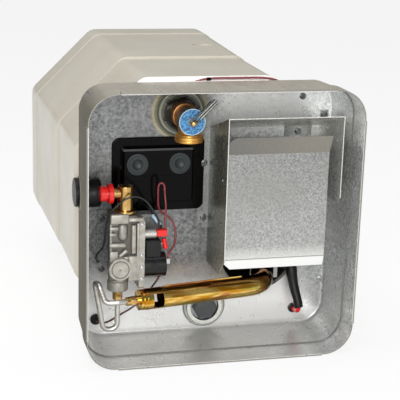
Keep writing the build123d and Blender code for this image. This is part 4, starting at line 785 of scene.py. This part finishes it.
valveSettings = {
    # two corners and the softness of the edges
    "blocks": [
        ((-130.5, 39.5, -66.5), (-95.5, 46, 6), 1.6),
        ((-124.5, 44, -66.5), (-95.5, 69, 6), 2.0),
        ((-130, 33, 3.8), (-108.5, 60, 15.2), 1.6),
        ((-110, 38, 3), (-96.5, 60, 12.2), 2.2),
        ((-130.5, 34, -41.5), (-120.5, 42, -29.5), 1.2),
        ((-130.5, 35.5, -60), (-127.6, 42, 4), 1.2),
        ((-104.4, 35, -33.5), (-99.4, 42, 1.3), 1.0),
        ((-98.6, 33.5, -66), (-95.5, 42, 4), 1.0),
        ((-108.6, 33, -66.5), (-97.5, 42, -35.8), 1.8),
        ((-114.6, 34.2, -42), (-106.5, 42, -36.5), 1.4),
    ],
    # both ends, the radius and the softness
    "rods": [
        ((-108.5, 35.6, 7.9), (-90.8, 35.6, 7.9), 2.7, 0.6),
        ((-130.8, 36.2, -2), (-120.6, 36.2, -2), 2.3, 0.7),
        ((-130.8, 36.8, -9.4), (-122.8, 36.8, -9.4), 2.0, 0.6),
        ((-130.8, 36, -22.4), (-112, 36, -22.4), 2.7, 0.8),
        ((-114.6, 42.5, 4), (-114.6, 42.5, -18.5), 6.8, 5.2),
        ((-110.2, 37, -29), (-118.5, 37, -36.5), 2.6, 0.8),
        ((-118, 50, -81.5), (-118, 50, -69.2), 12.5, 1.4),
        ((-118, 50, -70), (-118, 50, -64), 11.2, 0.4),
    ],
    # through the first blocks of the list
    "bore": ((-105.6, 50, -52.4), (-90, 50, -52.4), 5.0),
    "boredBlocks": 2,
    # each step goes so far in from the last edge, then so far back
    "boss": {"front": 27.5, "back": 42, "radius": 13.3, "sides": 64,
             "steps": [(0.7, -0.5), (2.0, 1.5), (1.1, -1.4), (8.0, 2.0)]},
}


def pickFront(piece):
    # only the face nearest the front stays picked, for the next steps in edit mode
    mesh = piece.data
    for group in (mesh.polygons, mesh.edges, mesh.vertices):
        group.foreach_set("select", [False] * len(group))
    min(mesh.polygons, key=lambda face: face.center.y).select = True
    bpy.ops.object.mode_set(mode="EDIT")
    bpy.ops.mesh.select_mode(type="FACE")


def addValveBoss(setting):
    x, z = bossAxis
    ends = ((x, setting["back"], z), (x, setting["front"], z))
    boss = addRod(*ends, setting["radius"], sides=setting["sides"])
    pickFront(boss)
    for width, depth in setting["steps"]:
        bpy.ops.mesh.inset(thickness=width * mm)
        bpy.ops.mesh.extrude_region_move(TRANSFORM_OT_translate={"value": (0, depth * mm, 0)})
    bpy.ops.object.mode_set(mode="OBJECT")
    return boss


def addValve(setting):
    parts = [*addParts(setting), addValveBoss(setting["boss"])]
    for core in parts[:setting["boredBlocks"]]:
        cutAway(core, addRod(*setting["bore"]))
    settle(joinPieces(parts, "valveCasting"), "valveCasting", ("gas_valve_body",))


addValve(valveSettings)
print("heater: valve cast")


def addTaper(name, setting):
    # a round moulding with a radius of its own at each point
    moulding = addCurve(name, setting["line"], 1, bevelResolution=8, resolution=12)
    bpy.ops.object.select_all(action="DESELECT")
    moulding.select_set(True)
    bpy.context.view_layer.objects.active = moulding
    bpy.ops.object.convert(target="MESH")
    whole = joinPieces([bpy.context.object], name)
    settle(whole, setting["finish"], setting["replaces"])


taperSettings = {
    "sparkBoot": {
        "finish": "blackRubber", "slot": "black_rubber", "replaces": ("spark_boot",),
        "line": [
            (96.5, 90, -75, 5.2), (104, 89.6, -75.2, 5.5), (108.5, 88.6, -76.6, 6.6),
            (110.2, 87, -79.5, 7.2), (110.6, 86, -83.5, 7.3), (110.9, 85.2, -87, 6.9),
            (112, 83.6, -95, 6.3), (114.2, 80.4, -107, 5.9), (116.8, 76.8, -118, 5.7),
            (118.5, 74.2, -127.6, 5.7), (118.7, 73.9, -128.6, 5.0),
        ],
    },
    "sparkLeadEnd": {
        "finish": "redPlastic", "slot": "red_plastic", "replaces": ("spark_lead_end",),
        "line": [
            (118.4, 74.8, -124, 2.9), (118.6, 75.4, -129, 2.9), (118.8, 77.4, -133.4, 3.1),
            (118.5, 82, -135.6, 3.1), (117.4, 89, -136.2, 2.9), (116.8, 96.2, -136.2, 2.9),
        ],
    },
}
for name, setting in taperSettings.items():
    addTaper(name, setting)


# rings have a centre, a radius and a thickness, the rest is as in the valve
smallSettings = {
    "reliefCollar": {
        "rods": [((-36, 69.2, 121.5), (-36, 79.3, 121.5), 15.8, 1.4)],
        "bore": ((-36, 60, 121.5), (-36, 90, 121.5), 12.8),
        "finish": "darkCopper", "slot": "yellow_brass",
    },
    "reliefBarrel": {
        "rods": [((-36, 40.5, 121.5), (-36, 69.5, 121.5), 13.3, 0.8)],
        "bore": ((-36, 30, 121.5), (-36, 80, 121.5), 12.7),
        "finish": "darkCopper", "slot": "yellow_brass",
    },
    "outletSkirt": {
        "rods": [((-36, 50, 100), (-36, 50, 105.8), 14.9, 2.2),
                 ((-36, 50, 95.6), (-36, 50, 99.4), 16.7, 1.2)],
        "bore": ((-36, 50, 90), (-36, 50, 110), 12.4),
        "finish": "valveBrass", "slot": "yellow_brass",
    },
    "inletCollar": {
        "rods": [((-110, 50, 13), (-110, 50, 16.8), 12.8, 0.9)],
        "bore": ((-110, 50, 8), (-110, 50, 20), 10),
        "finish": "yellowBrass", "slot": "yellow_brass",
    },
    "leadSleeves": {
        "rods": [((-76.6, 54.6, 7.4), (-70.4, 51.4, -1.6), 1.9, 0.6),
                 ((-72.6, 53.2, 5.2), (-67.6, 51.6, -4.4), 1.9, 0.6)],
        "finish": "bluishSleeve", "slot": "grey_lead",
    },
    "wallRings": {
        "rings": [((151.6, 95.0, -97.6), 2.7, 0.55), ((155.3, 95.0, -101.9), 1.6, 0.55)],
        "finish": "boxSheet", "slot": "zinc_sheet",
    },
    # painted shade: a black rod fills a small hole in the housing's right wall
    "wallHoleShade": {
        "rods": [((156.8, 80.4, -139.8), (159.4, 80.4, -139.8), 1.2, 0.4)],
        "finish": "blackRubber", "slot": "black_rubber",
    },
    "leadClip": {
        "blocks": [((-3.8, 98.4, 157.2), (1.8, 102.4, 161.2), 0.6)],
        "finish": "blackPlastic", "slot": "black_plastic",
    },
}
for name, setting in smallSettings.items():
    parts = addParts(setting)
    if "bore" in setting:
        for part in parts:
            cutAway(part, addRod(*setting["bore"]))
    settle(joinPieces(parts, name), setting["finish"])
print("heater: boot, collars and sleeves made")


stageSetting = {"size": 12, "paint": (0.88, 0.88, 0.88, 1), "roughness": 0.9, "glow": 0.86}


def addStage(setting):
    bpy.ops.object.select_all(action="DESELECT")
    bpy.ops.mesh.primitive_plane_add(size=setting["size"], location=(0, 0, 0))
    floor = bpy.context.object
    floor.name = "studioFloor"
    paint = bpy.data.materials.new("floorPaint")
    paint.use_nodes = True
    tree = paint.node_tree
    shader = tree.nodes["Principled BSDF"]
    feed(tree, shader, {"Base Color": setting["paint"], "Roughness": setting["roughness"]})
    # a glow that only the camera and reflections see keeps the floor as light as the photo's
    rays = addNode(tree, "ShaderNodeLightPath", {})
    seen = addNode(tree, "ShaderNodeMath", {0: rays["Is Camera Ray"], 1: rays["Is Glossy Ray"]},
                   operation="MAXIMUM")
    share = addNode(tree, "ShaderNodeMath", {0: seen["Value"], 1: setting["glow"]},
                    operation="MULTIPLY")
    glow = addNode(tree, "ShaderNodeEmission", {})
    mix = addNode(tree, "ShaderNodeMixShader",
                  {"Fac": share["Value"], 1: shader.outputs["BSDF"], 2: glow["Emission"]})
    feed(tree, tree.nodes["Material Output"], {"Surface": mix["Shader"]})
    floor.data.materials.append(paint)


worldSetting = {"colour": (1, 1, 1, 1), "lit": 0.3, "seen": 1.0}


def addWorld(setting):
    # white where the camera sees it, and dimmer as a light
    world = bpy.data.worlds.new("studioWorld")
    bpy.context.scene.world = world
    world.use_nodes = True
    tree = world.node_tree
    rays = addNode(tree, "ShaderNodeLightPath", {})
    seen = addNode(tree, "ShaderNodeMath",
                   {0: rays["Is Camera Ray"], 1: rays["Is Transmission Ray"]}, operation="MAXIMUM")
    level = addNode(tree, "ShaderNodeMapRange",
                    {"Value": seen["Value"], "To Min": setting["lit"], "To Max": setting["seen"]})
    feed(tree, tree.nodes["Background"], {"Color": setting["colour"], "Strength": level["Result"]})


lampSettings = [
    {"name": "keyLamp", "at": (-0.45, -2.2, 0.62), "aim": (0, -0.2, 0.15),
     "power": 32, "size": 1.0},
    {"name": "topLamp", "at": (-0.3, -0.3, 1.9), "aim": (0, -0.1, 0.1),
     "power": 24, "size": 1.4},
    {"name": "sideLamp", "at": (-1.7, -0.1, 0.8), "aim": (0, 0, 0.2),
     "power": 4.5, "size": 1.2},
]


def addLamp(setting):
    data = bpy.data.lights.new(setting["name"], "AREA")
    data.energy = setting["power"]
    data.size = setting["size"]
    lamp = bpy.data.objects.new(setting["name"], data)
    bpy.context.scene.collection.objects.link(lamp)
    lamp.location = setting["at"]
    aim = Vector(setting["aim"]) - Vector(setting["at"])
    lamp.rotation_euler = aim.to_track_quat("-Z", "Y").to_euler()


addStage(stageSetting)
addWorld(worldSetting)
for setting in lampSettings:
    addLamp(setting)
bpy.context.scene.view_settings.view_transform = "Standard"
print("heater: stage ready")
